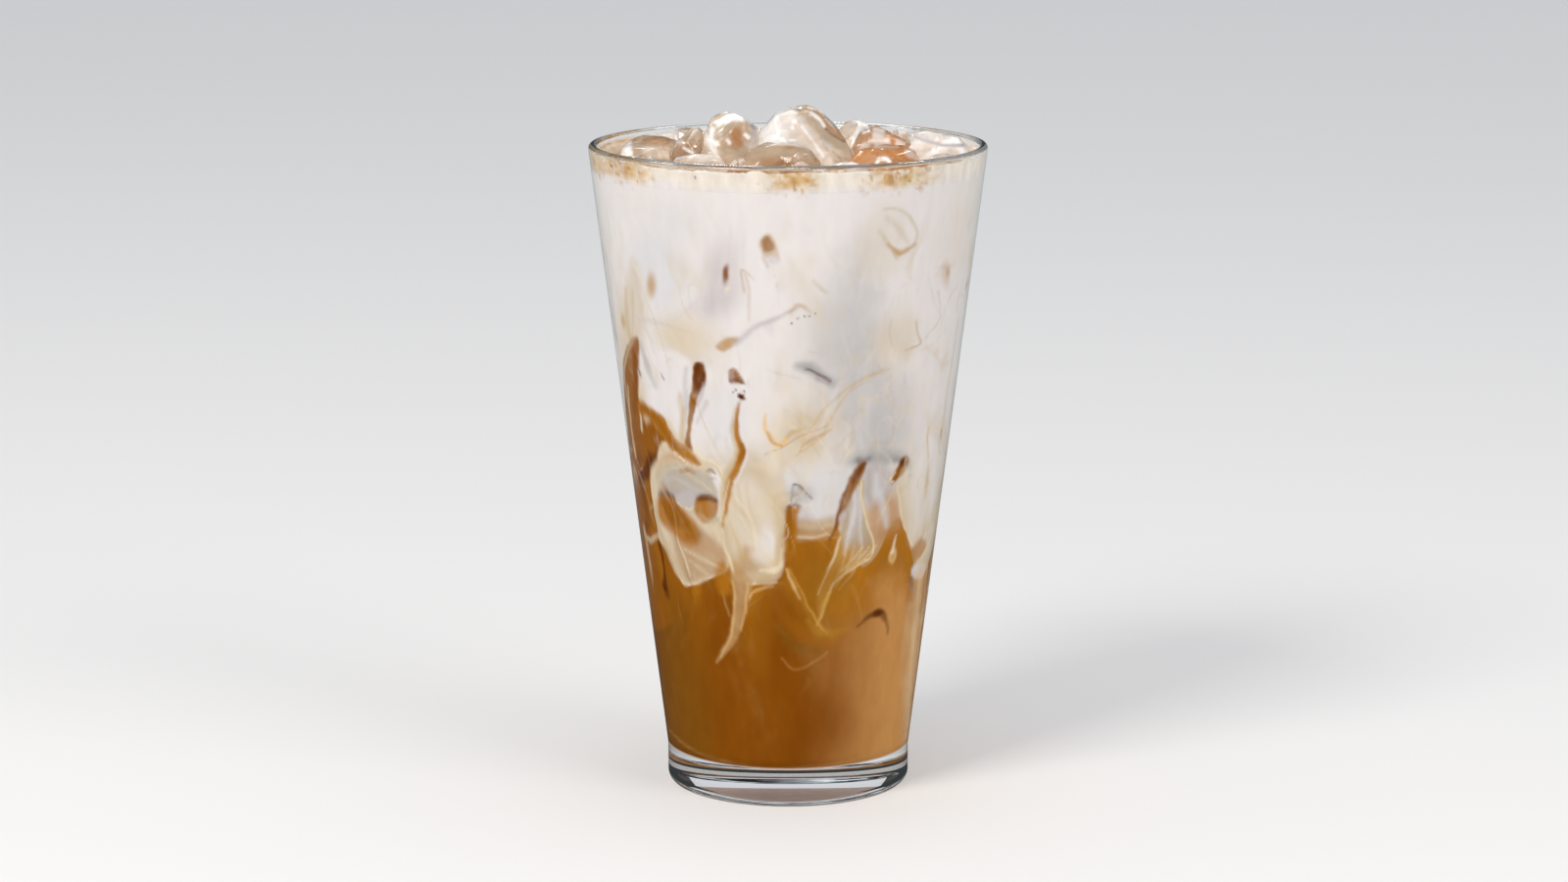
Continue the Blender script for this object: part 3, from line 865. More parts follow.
def paint_right_edge(side, points):
    """The small brown pocket at the right, and the drawn-out milk and cream lines beyond it."""
    side.stroke([(46.6, 78), (44.6, 76.4), (41.7, 74.2)], (3.2, 2.8, 1.4), AMBER, 1, 0.35)
    side.spot((46.4, 78.4), (3, 2), BROWN_DARK, 0.75, 0.5)
    side.stroke([(42.6, 76), (41, 74.6), (42.4, 73.8)], (0.4, 0.6, 0.4), CREAM_LINE, 0.9, 0.25)
    side.spot((51, 75), (1.6, 1.2), VIOLET_SHADE, 0.7, 0.5)
    left = [(44.5, 75), (47, 69), (49.5, 64.5), (54, 60.5), (59, 57.2), (64, 58)]
    right = [(70, 60), (80, 62), (88, 70), (86, 82), (56, 84)]
    side.area(left + right, MILK_WARM, 0.9, 0.5, fade=(68, 84))
    side.area([(50, 74), (56, 80), (76, 80), (78, 68), (66, 62), (58, 62)], MILK, 0.6, 2.4)
    border = [(44.5, 73), (47, 68.8), (49.2, 64.5), (54, 60.5), (59.3, 57.4)]
    side.stroke(border, (0.4,), CREAM_LINE, 0.85, 0.3)
    there = smooth(48, 56, side.angle) * (1 - smooth(86, 94, side.angle))
    there = there * smooth(57, 63, side.z) * (1 - smooth(76, 92, side.z))
    streaks = layered_noise(points * [1, 1, 0.16], 2.4, 65, 2)
    side.fill(CREAM_YELLOW, 0.55 * there * smooth(0.1, 0.7, streaks))
    side.fill(MILK, 0.7 * there * smooth(0.1, 0.6, -streaks))
    side.area([(51, 58), (61, 53), (71, 56.5), (64, 59), (57, 57)], AMBER_LIGHT, 0.7, 0.9)
    side.stroke([(64, 53.6), (71, 55.2), (78, 60)], (0.5, 0.9, 0.6), VEIL_LINE, 0.85, 0.35)
    side.spot((45.8, 56.6), (2.3, 3.2), GOLD, 0.8, 0.5)
    side.spot((45.8, 56.4), (1.1, 1.9), TENDRIL, 0.8, 0.4)
    side.stroke([(45.2, 57.6), (46, 59.4), (46.8, 61.2)], (1, 0.8, 0.3), CREAM_LINE, 0.7, 0.3)
    side.area([(60, 52.4), (67, 53), (74, 51), (71, 49), (62, 50)], MILK_COOL, 0.8, 0.7)
    side.stroke([(61, 49.6), (64, 46.6)], (1.7, 1.4), SMOKE, 0.65, 0.5)
    side.stroke([(69, 50), (70, 42), (72, 33), (74, 24), (80, 12)], (5, 6, 6.5, 6.5, 5), WALL_CREAM, 0.8, 3)
    side.stroke([(62, 44), (61, 36), (63, 25)], (1.2, 1.6, 1), CREAM, 0.35, 1)
    side.stroke([(66, 45), (66, 36), (69, 27)], (0.8, 1, 0.6), TAN, 0.4, 0.8)
    side.stroke([(77, 51), (80, 36), (83, 22)], (0.8, 1.2, 0.8), VEIL_LINE, 0.6, 0.7)
    side.stroke([(60, 85), (59.7, 82.4), (62, 78)], (0.5, 0.5, 0.4), CREAM_YELLOW, 0.7, 0.35)
    side.stroke([(69.5, 82), (71, 79), (75, 77)], (0.5, 0.5, 0.3), CREAM_YELLOW, 0.6, 0.35)


def paint_lower_coffee(side):
    """Broad soft tones and thin swirls in the coffee."""
    side.stroke([(44, 49), (55, 30), (60, 11)], (7, 9, 8), COFFEE_RIGHT, 0.7, 3.5)
    side.stroke([(-54, 44), (-53, 28), (-50, 10)], (6, 8, 6), COFFEE_LEFT, 0.6, 3.5)
    side.spot((14, 51), (13, 12), COFFEE_OLIVE, 0.6, 4)
    side.stroke([(-3, 50), (2, 46), (9, 43)], (2, 3, 2), AMBER_DEEP, 0.5, 1.6)
    side.spot((14, 20), (14, 14), AMBER_DEEP, 0.6, 5)
    side.stroke([(-1, 56), (1, 53), (5, 49)], (0.5, 0.9, 0.4), GOLD, 0.7, 0.3)
    web = [(0, 56), (5, 51), (10, 46), (17, 41)]
    side.stroke(web, (0.3, 0.4, 0.6, 0.5), WEB_GOLD, 0.8, 0.3)
    side.stroke([(4, 51), (10, 44)], (1, 0.6), WEB_BROWN, 0.6, 0.4)
    side.stroke([(17, 50), (15, 47), (13, 43)], (0.7, 0.9, 0.5), SWIRL_GOLD, 0.7, 0.4)
    side.stroke([(9, 44), (14, 41), (25, 41)], (1, 1.6, 0.8), SWIRL_AMBER, 0.7, 0.8)
    side.stroke([(-3, 42), (3, 38), (12, 37)], (1.6, 2.4, 1.4), SWIRL_OLIVE, 0.5, 1.2)
    arch = [(30, 41.6), (35, 43.2), (40, 44), (44, 43), (47, 40.8), (48, 38.6)]
    side.stroke(arch, (0.6, 1, 1.7, 1.5, 0.9, 0.4), ARCH_BROWN, 0.8, 0.5)
    side.spot((40.6, 43.8), (3.2, 1.7), BROWN_DARK, 0.9, 0.5)
    side.stroke([(-3, 35), (4, 32.5), (17, 36.5)], (0.35,), THREAD_GOLD, 0.35, 0.4)
    side.stroke([(a, 8.8 + (a / 40) ** 2) for a in range(-80, 81, 20)], (0.5,), TAN, 0.5, 0.5)


def fold_back(side, points):
    """Gives the back half the front's places in a mirror, shifted to its own meeting level, so that the
    lobes, tendrils and marks go on round the glass."""
    turn = side.angle
    level = meeting_level(turn)
    behind = smooth(90, 125, abs(turn))
    bend = 9 * behind * layered_noise(points, 26, 221, 2)
    folded = np.where(turn > 90, 180 - turn, np.where(turn < -90, -180 - turn, turn)) + bend
    shift = level - meeting_level(folded)
    shift = np.where(abs(turn) > 90, 0.6 * shift, 0)
    near = 1 - smooth(0, 50, abs(side.z - level))
    side.angle = folded
    side.z = side.z - shift * near


def drink_colours(points, inner_colour):
    """Colours for the points of the coffee or the milk: the painted side, and plain milky coffee inside."""
    side = Painting(points, 0.5, 3)
    paint_milk_and_coffee(side, points)
    fold_back(side, points)
    paint_milk_shades(side)
    paint_veins(side, points)
    paint_flow(side, points)
    paint_left_pocket(side)
    paint_left_shadows(side)
    paint_upper_tendrils(side)
    paint_upper_marks(side)
    paint_upper_veins(side)
    paint_left_lobe(side)
    paint_left_veil(side)
    paint_left_border(side)
    paint_middle_lobe(side)
    paint_middle_trail(side)
    paint_middle_tendril(side)
    paint_amber_column(side)
    paint_curtain(side)
    paint_curtain_folds(side)
    paint_dark_streak(side)
    paint_right_edge(side, points)
    paint_lower_coffee(side)
    paint_fine_veins(side, points)
    paint_froth_band(side, points)
    inside = 1 - smooth(1.2, 2.2, radius_of(points) - inner_radius(points[:, 2]) + 3)
    side.fill(inner_colour, inside)
    side.fill(UNDERSIDE, 1 - smooth(0, 0.5, points[:, 2] - SHAM_HEIGHT))
    return side.colours


# Materials
def new_material(name):
    material = bpy.data.materials.new(name)
    material.use_nodes = True
    nodes = material.node_tree.nodes
    return material, nodes, material.node_tree.links, nodes["Principled BSDF"]


def set_inputs(node, values):
    for name, value in values.items():
        node.inputs[name].default_value = value


def show(nodes, links, surface):
    """Makes a shader the surface of its material."""
    links.new(surface, nodes["Material Output"].inputs["Surface"])


def add_noise(nodes, links, scale, detail=3, stretch=(1, 1, 1)):
    """A noise texture on the object's own coordinates; its scale is in cells per metre."""
    place = nodes.new("ShaderNodeTexCoord")
    mapping = nodes.new("ShaderNodeMapping")
    noise = nodes.new("ShaderNodeTexNoise")
    set_inputs(mapping, {"Scale": stretch})
    set_inputs(noise, {"Scale": scale, "Detail": detail})
    links.new(place.outputs["Object"], mapping.inputs["Vector"])
    links.new(mapping.outputs["Vector"], noise.inputs["Vector"])
    return noise.outputs["Fac"]


def add_axes(nodes, links):
    """The object's own coordinates, one by one."""
    place = nodes.new("ShaderNodeTexCoord")
    apart = nodes.new("ShaderNodeSeparateXYZ")
    links.new(place.outputs["Object"], apart.inputs[0])
    return apart.outputs


def add_painted(nodes, name):
    """What is painted on the points under a name."""
    painted = nodes.new("ShaderNodeAttribute")
    painted.attribute_name = name
    return painted.outputs


def add_ramp(nodes, links, source, low, high, from_value=0.0, to_value=1.0):
    """A value that goes from one number to another as its source goes from low to high."""
    reach = nodes.new("ShaderNodeMapRange")
    set_inputs(reach, {"From Min": low, "From Max": high, "To Min": from_value, "To Max": to_value})
    links.new(source, reach.inputs["Value"])
    return reach.outputs["Result"]


def add_math(nodes, links, kind, first, second):
    """Two values made one, which stays between 0 and 1."""
    both = nodes.new("ShaderNodeMath")
    both.operation = kind
    both.use_clamp = True
    links.new(first, both.inputs[0])
    links.new(second, both.inputs[1])
    return both.outputs[0]


def add_mix(nodes, links, amount, first, second):
    """The first shader where the amount is 0 and the second where it is 1."""
    mix = nodes.new("ShaderNodeMixShader")
    links.new(amount, mix.inputs["Fac"])
    links.new(first, mix.inputs[1])
    links.new(second, mix.inputs[2])
    return mix.outputs[0]


def add_bump(nodes, links, height, strength, distance, shader):
    bump = nodes.new("ShaderNodeBump")
    set_inputs(bump, {"Strength": strength, "Distance": distance * MM})
    links.new(height, bump.inputs["Height"])
    links.new(bump.outputs["Normal"], shader.inputs["Normal"])
    return bump.outputs["Normal"]


def let_light_through(nodes, links, surface, colour):
    """Shadows and soft light pass the surface as through a plain clear sheet of a colour."""
    ray = nodes.new("ShaderNodeLightPath").outputs
    either = add_math(nodes, links, "MAXIMUM", ray["Is Shadow Ray"], ray["Is Diffuse Ray"])
    clear = nodes.new("ShaderNodeBsdfTransparent")
    set_inputs(clear, {"Color": (*colour, 1)})
    show(nodes, links, add_mix(nodes, links, either, surface, clear.outputs[0]))


CLEAR_GLASS = (0.985, 0.995, 0.99, 1)
DARK_LIP = (0.2, 0.23, 0.27, 1)


def glass_material():
    """Clear glass with faint draw marks, and a rim that is dark except at the back."""
    material, nodes, links, shader = new_material("clear_glass")
    set_inputs(shader, {"Base Color": CLEAR_GLASS, "Roughness": 0, "IOR": 1.5, "Transmission Weight": 1})
    draw = add_noise(nodes, links, 45, 2, (1, 1, 0.25))
    add_bump(nodes, links, draw, 0.12, 0.25, shader)
    axes = add_axes(nodes, links)
    top = GLASS_HEIGHT * MM
    lip = add_ramp(nodes, links, axes["Z"], top - 0.9 * MM, top - 0.45 * MM)
    near = add_ramp(nodes, links, axes["Y"], 4 * MM, 16 * MM, 1, 0)
    tint = nodes.new("ShaderNodeMix")
    tint.data_type = "RGBA"
    tint.inputs[6].default_value = CLEAR_GLASS
    tint.inputs[7].default_value = DARK_LIP
    links.new(add_math(nodes, links, "MULTIPLY", lip, near), tint.inputs[0])
    links.new(tint.outputs[2], shader.inputs["Base Color"])
    let_light_through(nodes, links, shader.outputs[0], (0.95, 0.96, 0.955))
    return material


def painted_material(name, attribute, roughness, gloss, grain=0.06, bump=0.0):
    """A surface in its painted colours, with a fine grain of lighter and darker flecks."""
    material, nodes, links, shader = new_material(name)
    set_inputs(shader, {"Roughness": roughness, "Specular IOR Level": gloss})
    fine = add_noise(nodes, links, 420, 8, (1, 1, 0.35))
    hue = nodes.new("ShaderNodeHueSaturation")
    links.new(add_ramp(nodes, links, fine, 0.3, 0.7, 1 - grain, 1 + grain), hue.inputs["Value"])
    links.new(add_painted(nodes, attribute)["Color"], hue.inputs["Color"])
    links.new(hue.outputs["Color"], shader.inputs["Base Color"])
    if bump:
        pits = add_noise(nodes, links, 1400, 5)
        add_bump(nodes, links, pits, bump, 0.3, shader)
    return material


def ice_material():
    """Clear melting ice with milky coffee in and on it: how much and of what colour is painted."""
    material, nodes, links, shader = new_material("melting_ice")
    set_inputs(shader, {"Base Color": (0.99, 0.985, 0.975, 1), "Roughness": 0.03})
    set_inputs(shader, {"IOR": 1.31, "Transmission Weight": 1})
    ripple = add_noise(nodes, links, 160, 2)
    normal = add_bump(nodes, links, ripple, 0.25, 0.5, shader)
    film = nodes.new("ShaderNodeBsdfPrincipled")
    set_inputs(film, {"Roughness": 0.14, "Subsurface Weight": 0.3, "Subsurface Scale": 1})
    set_inputs(film, {"Subsurface Radius": (3 * MM, 2.4 * MM, 1.8 * MM)})
    links.new(add_painted(nodes, "ice_colour")["Color"], film.inputs["Base Color"])
    links.new(normal, film.inputs["Normal"])
    cracks = add_noise(nodes, links, 300, 4, (1, 0.6, 1.6))
    streak = add_ramp(nodes, links, cracks, 0.35, 0.65, -0.12, 0.12)
    amount = add_math(nodes, links, "ADD", add_painted(nodes, "ice_film")["Fac"], streak)
    surface = add_mix(nodes, links, amount, shader.outputs[0], film.outputs[0])
    let_light_through(nodes, links, surface, (0.93, 0.9, 0.86))
    return material


def film_material():
    """White where the film is thick, and clear where it isn't."""
    material, nodes, links, shader = new_material("dried_milk")
    set_inputs(shader, {"Base Color": (0.86, 0.82, 0.79, 1), "Roughness": 0.5, "Specular IOR Level": 0.2})
    clear = nodes.new("ShaderNodeBsdfTransparent")
    amount = add_painted(nodes, "film")["Fac"]
    show(nodes, links, add_mix(nodes, links, amount, clear.outputs[0], shader.outputs[0]))
    return material


def shining_material(name, colour):
    """A material that only shines, with its shining node."""
    material, nodes, links, shader = new_material(name)
    glow = nodes.new("ShaderNodeEmission")
    set_inputs(glow, {"Color": (*colour, 1)})
    show(nodes, links, glow.outputs[0])
    nodes.remove(shader)
    return material, nodes, links, glow


GLOOM = 0.045


def dark_material(name, back=0.0, start=0.0, end=1.0):
    """The gloom of a dark room, which can brighten backwards, from start to end in the object's units."""
    material, nodes, links, glow = shining_material(name, (0.8, 0.95, 1))
    depth = add_axes(nodes, links)["Y"]
    links.new(add_ramp(nodes, links, depth, start, end, GLOOM, GLOOM + back), glow.inputs["Strength"])
    return material


def streaky_material(name):
    """Dark with long bright streaks that lie level, which the thick base of the glass bends into bands."""
    material, nodes, links, glow = shining_material(name, (0.86, 0.94, 1))
    streaks = add_noise(nodes, links, 1, 3, (9, 9, 160))
    links.new(add_ramp(nodes, links, streaks, 0.53, 0.58, 0.01, 1.4), glow.inputs["Strength"])
    return material


# The glass: a thick base with a shallow punt, a tapered wall and a rounded rim
def make_glass(material):
    lip = WALL_AT_RIM / 2
    corner_z = SHAM_HEIGHT + FLOOR_CORNER
    corner_r = inner_radius(corner_z) - FLOOR_CORNER
    punt = [(PUNT_RADIUS * i / 8, PUNT_DEPTH * (1 - (i / 8) ** 2)) for i in range(9)]
    foot = arc(FOOT_RADIUS - FOOT_CORNER, FOOT_CORNER, FOOT_CORNER, -90, 0, 10)
    rim = arc(RIM_RADIUS - lip, GLASS_HEIGHT - lip, lip, 0, 180, 16)
    floor = arc(corner_r, corner_z, FLOOR_CORNER, 0, -90, 10) + [(0, SHAM_HEIGHT)]
    piece = draw_profile("clear_glass", punt + foot + [(FOOT_RADIUS, SHAM_HEIGHT)] + rim + floor)
    spin_round(piece, [(360, 192)])
    return finish_piece(piece, "glass", material, 30)


# The coffee and the milk, which reach just into the glass's wall so that no air gap shows
def at_wall(z):
    return float(inner_radius(z)) + INTO_WALL, z


MEETING_WALL = at_wall(MEETING_LEVEL)
MEETING_MIDDLE = (MEETING_WALL[0] / 8, MEETING_LEVEL)


def wave_to_meeting(piece, far_level):
    """Moves the flat meeting surface to its wavy level and stretches the side's rows to follow it."""
    points = points_of(piece)
    radius = radius_of(points)
    level = meeting_level(angle_of(points))
    flat = abs(points[:, 2] - MEETING_LEVEL) < 0.01
    share = np.clip(radius / (inner_radius(MEETING_LEVEL) + INTO_WALL), 0, 1)
    on_side = radius > inner_radius(points[:, 2]) + INTO_WALL - 0.02
    between = (points[:, 2] - far_level) / (MEETING_LEVEL - far_level)
    moves = on_side & (between > 0)
    z = points[:, 2].copy()
    z[moves] = (far_level + between * (level - far_level))[moves]
    z[flat] = meeting_level(angle_of(points), share)[flat]
    wall = inner_radius(z) + INTO_WALL
    wall[flat] = (share * (inner_radius(level) + INTO_WALL))[flat]
    changed = moves | flat
    scale = np.where(changed, wall / np.maximum(radius, 1e-6), 1)
    points[:, :2] *= scale[:, None]
    points[:, 2] = z
    set_points(piece, points)


def split_cells(piece):
    """Divides each four-sided face along its shorter diagonal."""
    pick(piece)
    edit_all()
    bpy.ops.mesh.quads_convert_to_tris(quad_method="SHORTEST_DIAGONAL", ngon_method="BEAUTY")
    stop_editing()


# The drink's front is divided more finely than its back
TURNS = [(FRONT_ANGLE, FRONT_STEPS), (360 - FRONT_ANGLE, BACK_STEPS)]
MEETING_ROWS = 6


def make_coffee(material):
    corner_z = SHAM_HEIGHT + FLOOR_CORNER
    corner_r = inner_radius(corner_z) - FLOOR_CORNER
    floor = [(corner_r * i / 4, SHAM_HEIGHT - INTO_WALL) for i in range(4)]
    corner = arc(corner_r, corner_z, FLOOR_CORNER + INTO_WALL, -90, 0, 7)
    profile = floor + corner[:-1] + [at_wall(corner_z), MEETING_WALL, MEETING_MIDDLE, (0, MEETING_LEVEL)]
    piece = draw_profile("coffee_layer", profile)
    spin_round(piece, TURNS)
    add_rows(piece, at_wall(corner_z), MEETING_WALL, COFFEE_ROWS)
    add_rows(piece, MEETING_WALL, MEETING_MIDDLE, MEETING_ROWS)
    wave_to_meeting(piece, corner_z)
    split_cells(piece)
    points = points_of(piece)
    set_colour(piece, "drink_colour", drink_colours(points, AMBER))
    return finish_piece(piece, "coffee", material, 20)


def make_milk(material, cutter):
    edge = at_wall(FROTH_EDGE)
    top = [(edge[0] - FROTH_COLLAR_WIDTH, FROTH_EDGE)] + [(r, MILK_TOP) for r in (MILK_TOP_RADIUS, 24, 12, 0)]
    piece = draw_profile("milk_layer", [(0, MEETING_LEVEL), MEETING_MIDDLE, MEETING_WALL, edge] + top)
    spin_round(piece, TURNS)
    add_rows(piece, MEETING_WALL, edge, MILK_ROWS)
    add_rows(piece, MEETING_WALL, MEETING_MIDDLE, MEETING_ROWS)
    wave_to_meeting(piece, FROTH_EDGE)
    split_cells(piece)
    cut_with(piece, cutter)
    points = points_of(piece)
    set_colour(piece, "drink_colour", drink_colours(points, FROTH_BEIGE))
    return finish_piece(piece, "milk", material, 20)


def cut_with(piece, cutter):
    pick(piece)
    cut = piece.modifiers.new("ice_pockets", "BOOLEAN")
    cut.operation = "DIFFERENCE"
    cut.solver = "MANIFOLD"
    cut.object = cutter
    bpy.ops.object.modifier_apply(modifier=cut.name)


# The ice: each chunk keeps its place and form, with edges that have melted round and hollows in its faces
def copy_of_node(node, name):
    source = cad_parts[node]
    piece = bpy.data.objects.new(name, source.data.copy())
    bpy.context.collection.objects.link(piece)
    piece.data.name = name
    pick(piece)
    edit_all()
    bpy.ops.mesh.remove_doubles(threshold=0.002 * MM)
    stop_editing()
    return piece


def make_cutter(scale=0.9):
    """All the ice chunks as one solid, each a little smaller about its own middle."""
    chunks = []
    for node in ICE_NODES:
        chunk = copy_of_node(node, "pocket_" + node)
        low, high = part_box(node)
        edit_all()
        bpy.ops.transform.resize(value=(scale, scale, scale), center_override=(low + high) / 2)
        stop_editing()
        chunks.append(chunk)
    return join(chunks)


def melt(piece, seed):
    """Even faces, slightly rounded edges, and hollows and ripples that only go inwards."""
    def apply(kind, **values):
        modifier = piece.modifiers.new(kind, kind)
        for key, value in values.items():
            setattr(modifier, key, value)
        bpy.ops.object.modifier_apply(modifier=modifier.name)

    apply("REMESH", mode="VOXEL", voxel_size=0.4 * MM)
    apply("SMOOTH", factor=0.5, iterations=2)
    points = points_of(piece)
    normals = np.empty(len(points) * 3)
    piece.data.vertices.foreach_get("normal", normals)
    hollows = smooth(0.15, 0.9, layered_noise(points, 9, seed, 2)) * 1.1
    grooves = vein(points, 8, seed + 20, 0.12) * 0.3
    ripples = 0.05 * (1 + layered_noise(points, 3, seed + 50, 2))
    set_points(piece, points - normals.reshape(-1, 3) * (hollows + grooves + ripples)[:, None])


def chip_faces(piece, node, seed, faces=10):
    """Cuts flat faces a little inside the chunk's form, spread all round it, and gives their planes."""
    draw = np.random.default_rng(seed)
    low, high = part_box(node)
    middle = (low + high) / 2
    golden = math.pi * (3 - math.sqrt(5))
    planes = []
    for i in range(faces):
        height = 1 - 2 * (i + 0.5) / faces
        ring = math.sqrt(1 - height * height)
        turn = golden * i + 2 * draw.random()
        normal = Vector((ring * math.cos(turn), ring * math.sin(turn), height))
        reach = max(normal.dot(v.co - middle) for v in piece.data.vertices)
        place = middle + normal * reach * (0.8 + 0.14 * draw.random())
        cut_face(place, normal)
        planes.append((np.array(place) / MM, np.array(normal)))
    return planes


def face_marks(points, planes, seed):
    """For each point, how near it is to an edge between two cut faces, and a tone of its own face."""
    depth = np.stack([(place - points) @ normal for place, normal in planes], axis=1)
    order = np.sort(depth, axis=1)
    edge = 1 - smooth(0.5, 1.6, order[:, 1])
    tones = np.random.default_rng(seed).random(len(planes)) * 2 - 1
    return edge, tones[np.argmin(depth, axis=1)] * (1 - smooth(0.8, 3, order[:, 0]))


ICE_WHITE = seen(246, 243, 240)
ICE_PALE = seen(222, 210, 198)
ICE_BEIGE = seen(180, 160, 136)
ICE_AMBER = seen(168, 118, 70)
ICE_ORANGE = seen(196, 132, 76)
ICE_SMOKE = seen(176, 178, 190)

# Each chunk's upper colour, its lower colour and how milky it is
ICE_LOOKS = {
    "ice_01": (ICE_WHITE, ICE_BEIGE, 0.6),
    "ice_02": (ICE_PALE, ICE_BEIGE, 0.42),
    "ice_03": (ICE_ORANGE, ICE_AMBER, 0.5),
    "ice_04": (ICE_WHITE, ICE_PALE, 0.55),
    "ice_05": (ICE_BEIGE, ICE_AMBER, 0.45),
    "ice_06": (ICE_BEIGE * 0.85, ICE_BEIGE * 0.7, 0.55),
    "ice_07": (ICE_BEIGE, ICE_AMBER, 0.6),
    "ice_08": (ICE_ORANGE, ICE_ORANGE, 0.6),
    "ice_11": (ICE_SMOKE, ICE_PALE, 0.3),
}
ICE_PLAIN = (ICE_WHITE, ICE_PALE, 0.42)


# Marks on the front of the ice: a chunk, places across and up in mm, a width, a colour and how milky
ICE_MARKS = (
    ("ice_01", [(-5, 152), (-4, 148), (-2, 144)], 6, ICE_WHITE, 0.85),
    ("ice_01", [(3.5, 154), (8, 149.5), (13.9, 145)], 3.6, ICE_BEIGE, 0.75),
    ("ice_01", [(2, 149), (6, 146), (9, 142)], 2.6, ICE_PALE, 0.7),
    ("ice_01", [(6, 153), (10, 149), (13, 147)], 0.9, ICE_AMBER, 0.8),
    ("ice_01", [(3, 150.3), (5.5, 147), (7.8, 143.7)], 0.45, ICE_WHITE, 1),
    ("ice_01", [(7.8, 150), (10, 148), (12.6, 146.4)], 0.4, BROWN_DARK, 0.7),
    ("ice_01", [(5, 153), (7, 151.5), (8, 150)], 0.6, ICE_WHITE, 1),
    ("ice_02", [(-12.4, 150), (-11, 148), (-12, 144)], 6, ICE_BEIGE, 0.6),
    ("ice_02", [(-11.5, 149), (-11.2, 147)], 3, ICE_AMBER, 0.75),
    ("ice_02", [(-15.5, 150.5), (-13, 152), (-9.5, 152.2)], 1.6, ICE_WHITE, 0.9),
    ("ice_02", [(-16.8, 149.5), (-17, 146), (-15.5, 143.5)], 1.1, ICE_WHITE, 0.9),
    ("ice_02", [(-9.4, 148.6), (-8.8, 148)], 0.8, ICE_WHITE, 1),
    ("ice_02", [(-13.4, 147.4), (-13, 146.8)], 0.8, ICE_WHITE, 1),
    ("ice_02", [(-8, 150), (-7.2, 147)], 0.9, ICE_SMOKE, 0.6),
    ("ice_06", [(-36.6, 146.5), (-35.8, 144), (-36.4, 142)], 2.6, ICE_WHITE, 0.9),
    ("ice_06", [(-32, 146.6), (-27, 146.2)], 1.4, ICE_AMBER, 0.7),
    ("ice_06", [(-31, 144.5), (-26, 144)], 2.2, ICE_PALE, 0.6),
    ("ice_03", [(20.5, 149), (20, 147), (21, 144.5)], 2.8, ICE_PALE, 0.85),
    ("ice_03", [(23.5, 149), (23.2, 146)], 1.2, ICE_ORANGE, 0.8),
    ("ice_03", [(15, 148), (18, 148.6)], 0.7, ICE_WHITE, 0.9),
    ("ice_08", [(19, 143), (19.6, 144.6), (21.4, 144.9), (22.4, 143.4), (21.4, 142.4)], 0.7, ICE_WHITE, 1),
    ("ice_08", [(11, 145.5), (16, 147), (24, 147)], 0.5, ICE_PALE, 0.9),
    ("ice_08", [(26, 145.8), (30, 144)], 1.2, ICE_PALE, 0.6),
    ("ice_07", [(-13, 146), (-6, 148), (0, 148.2), (6, 147)], 0.5, ICE_PALE, 0.9),
    ("ice_07", [(-8, 146.2), (-2, 146.8), (5, 145.6)], 1.6, ICE_BEIGE, 0.8),
    ("ice_05", [(-25, 147.5), (-22, 149.3)], 1.4, ICE_PALE, 0.7),
    ("ice_05", [(-23, 145.4), (-21, 144.6)], 0.7, ICE_WHITE, 0.9),
    ("ice_04", [(27, 147.5), (33, 146), (39, 145.5)], 0.6, ICE_SMOKE, 0.6),
    ("ice_11", [(12, 148), (15, 148.6), (18, 147.6)], 0.8, ICE_WHITE, 0.9),
)


def mark_ice(node, points, colours, film):
    """Paints a chunk's marks on the half of it that faces the front."""
    front = 1 - smooth(-1, 2, points[:, 1] - np.median(points[:, 1]))
    for name, places, width, colour, milky in ICE_MARKS:
        if name != node:
            continue
        path = smooth_path(places)
        nearest = np.full(len(points), FAR)
        for start, end in zip(path, path[1:]):
            nearest = np.minimum(nearest, to_line(points[:, 0], points[:, 2], start, end)[1])
        ragged = 1 + 0.4 * layered_noise(points, 1.6, len(places), 2)
        soft = 0.25 + width / 8
        amount = front * (1 - smooth(-soft, soft, nearest - width / 2 * ragged))
        colours += (colour - colours) * amount[:, None]
        film += (milky - film) * amount


def paint_ice(node, points, planes, index):
    """A chunk's colours, and how milky it is: darker below, with frosty edges and milky streaks."""
    upper, lower, milky = ICE_LOOKS.get(node, ICE_PLAIN)
    edge, tone = face_marks(points, planes, index)
    climb = smooth(FROTH_TOP - 1, FROTH_TOP + 8, points[:, 2] + 3 * layered_noise(points, 7, index + 90, 2))
    shade = np.clip(1 + 0.32 * tone, 0, 1.1) * (0.8 + 0.2 * climb)
    frost = 0.75 * edge * (0.35 + 0.65 * climb)
    colours = (lower + (upper - lower) * climb[:, None]) * shade[:, None]
    colours = colours + (ICE_WHITE - colours) * frost[:, None]
    slant = points @ np.array([[1, 0, 0.5], [0, 1, 0], [0.2, 0, 0.35]])
    streaks = layered_noise(slant, 2.6, index + 130, 3)
    film = milky + 0.26 * tone + 0.3 * streaks + 0.4 * edge
    mark_ice(node, points, colours, film)
    return np.clip(colours, 0, 1), np.clip(film, 0, 1)


def make_ice(node, material):
    """A chunk of ice with clear faces of different tones."""
    index = int(node[-2:])
    piece = copy_of_node(node, "melting_" + node)
    planes = chip_faces(piece, node, index)
    melt(piece, index)
    colours, film = paint_ice(node, points_of(piece), planes, index)
    set_colour(piece, "ice_colour", colours)
    set_amount(piece, "ice_film", film)
    return finish_piece(piece, node, material, 60)


